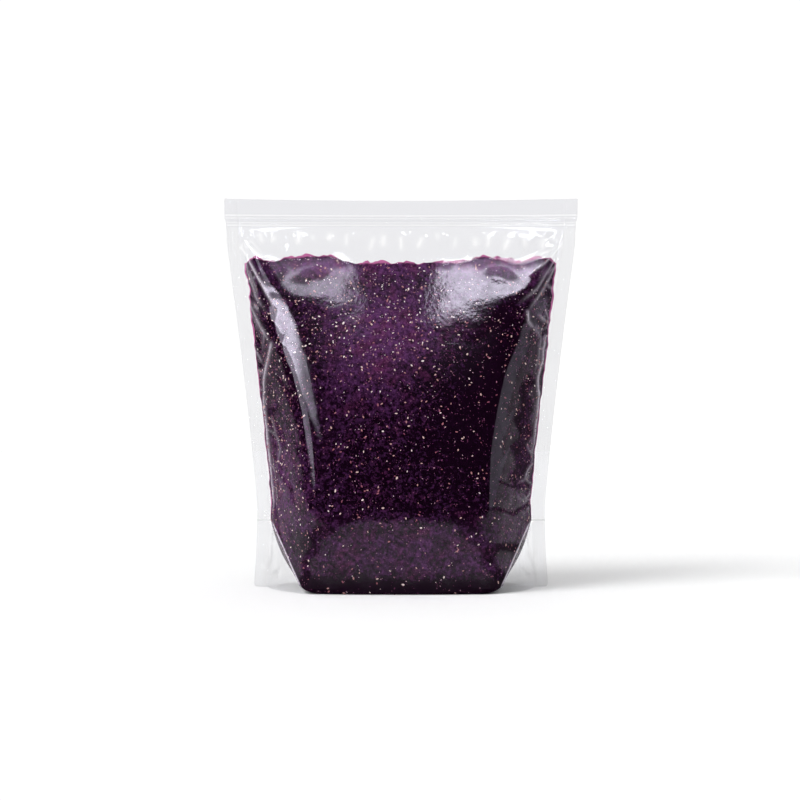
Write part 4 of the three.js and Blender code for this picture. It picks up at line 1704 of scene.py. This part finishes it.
FLOOR_REACH = 3.0
KEY_LIGHT = 2.05
KEY_SPREAD = math.radians(29)
KEY_WAY = (0.8, 0.5, -0.76)
CAMERA_ACROSS = -0.7 * MM
SENSOR_WIDTH = 36


def set_floor(settings):
    bpy.ops.object.select_all(action="DESELECT")
    bpy.ops.mesh.primitive_plane_add(size=2 * FLOOR_REACH, location=(0, 0, 0))
    floor = bpy.context.object
    floor.name = "floor"
    make = Finish("floor")
    pale = make.node(
        "ShaderNodeBsdfPrincipled", {},
        {"Base Color": opaque(settings.floor), "Roughness": 0.7, "Specular IOR Level": 0.2})
    floor.data.materials.append(make.finish(pale))


def set_lamps():
    bpy.ops.object.light_add(type="SUN", location=(-2, -1, 2))
    key = bpy.context.object
    key.name = "lamp_key"
    key.data.energy = KEY_LIGHT
    key.data.angle = KEY_SPREAD
    key.rotation_euler = Vector(KEY_WAY).to_track_quat("-Z", "Y").to_euler()


ROOM_LIGHTS = (
    # round to the right from the front; up: both in degrees; half soft edge; brightness
    ((-74, -18), (15, 28), 1.0, 33.0),
    ((-62, -34), (5, 16), 1.0, 10.5),
    ((-12, -5), (34, 43.5), 0.8, 17.0),
    ((4, 32), (33.1, 43.5), 0.3, 30.0),
    ((44, 118), (-3, 15), 2.0, 2.05),
    ((118, 140), (7, 26), 2.0, 7.0),
    ((-34, 12), (29, 46), 8.0, 0.5),
)
LAMP_COLOUR = (0.93, 0.97, 1.05, 1)
DARK_ROOM = 0.01
SOFT_LIGHT = 0.77
BACKDROP = 1.05


def set_world():
    """White behind the pouch, soft light from all round, and soft lamps in what the film mirrors"""
    world = bpy.data.worlds.new("room")
    bpy.context.scene.world = world
    make = Finish("room", world)
    way = make.node("ShaderNodeSeparateXYZ", {}, {0: make.node("ShaderNodeTexCoord")})
    x, y, z = (Wire(make, output) for output in way.socket.node.outputs)
    degrees = 180 / math.pi
    turn = x.math("ARCTAN2", x, 0.0 - y) * degrees
    rise = z.math("ARCSINE", z) * degrees
    mirrored = turn * 0.0 + DARK_ROOM
    for (left, right), (low, high), soft, brightness in ROOM_LIGHTS:
        lamp = make.within(turn, left, right, soft) * make.within(rise, low, high, soft)
        mirrored = mirrored + lamp * brightness
    shader = make.node("ShaderNodeBackground", {}, {"Color": LAMP_COLOUR, "Strength": mirrored})
    for ray, brightness in (("Is Diffuse Ray", SOFT_LIGHT), ("Is Camera Ray", BACKDROP)):
        seen = make.node("ShaderNodeLightPath", output=ray)
        even = make.node("ShaderNodeBackground", {}, {"Color": grey(1), "Strength": brightness})
        shader = make.blend(seen, shader, even)
    world.cycles.sampling_method = "NONE"
    make.finish(shader)


def set_camera(settings):
    bpy.ops.object.camera_add(
        location=(CAMERA_ACROSS, -settings.camera_distance, settings.camera_height),
        rotation=(math.pi / 2, 0, 0))
    camera = bpy.context.object
    camera.name = "camera"
    camera.data.lens = settings.lens
    camera.data.sensor_width = SENSOR_WIDTH
    bpy.context.scene.camera = camera


class POUCH_PT_panel(bpy.types.Panel):
    """Lists the steps that make the pouch"""

    bl_label = "Jam Pouch"
    bl_idname = "POUCH_PT_panel"
    bl_space_type = "VIEW_3D"
    bl_region_type = "UI"
    bl_category = "Jam Pouch"

    def draw(self, context):
        for operator in STEPS:
            self.layout.operator(operator.bl_idname)
        for group in ("pouch_film", "pouch_jam", "pouch_stage"):
            settings = getattr(context.scene, group)
            for name in settings.bl_rna.properties.keys():
                if name not in ("rna_type", "name"):
                    self.layout.prop(settings, name)


SETTINGS = {"pouch_film": FilmSettings, "pouch_jam": JamSettings, "pouch_stage": StageSettings}
STEPS = (POUCH_OT_fill_film, POUCH_OT_make_panels, POUCH_OT_make_base, POUCH_OT_make_strip,
         POUCH_OT_make_jam, POUCH_OT_make_seeds, POUCH_OT_set_stage)


def register():
    for name, group in SETTINGS.items():
        bpy.utils.register_class(group)
        setattr(bpy.types.Scene, name, bpy.props.PointerProperty(type=group))
    for operator in STEPS:
        bpy.utils.register_class(operator)
    bpy.utils.register_class(POUCH_PT_panel)


def unregister():
    bpy.utils.unregister_class(POUCH_PT_panel)
    for operator in reversed(STEPS):
        bpy.utils.unregister_class(operator)
    for name, group in reversed(SETTINGS.items()):
        delattr(bpy.types.Scene, name)
        bpy.utils.unregister_class(group)


def main():
    register()
    for operator in STEPS:
        group, name = operator.bl_idname.split(".")
        getattr(getattr(bpy.ops, group), name)()


if __name__ == "__main__":
    main()
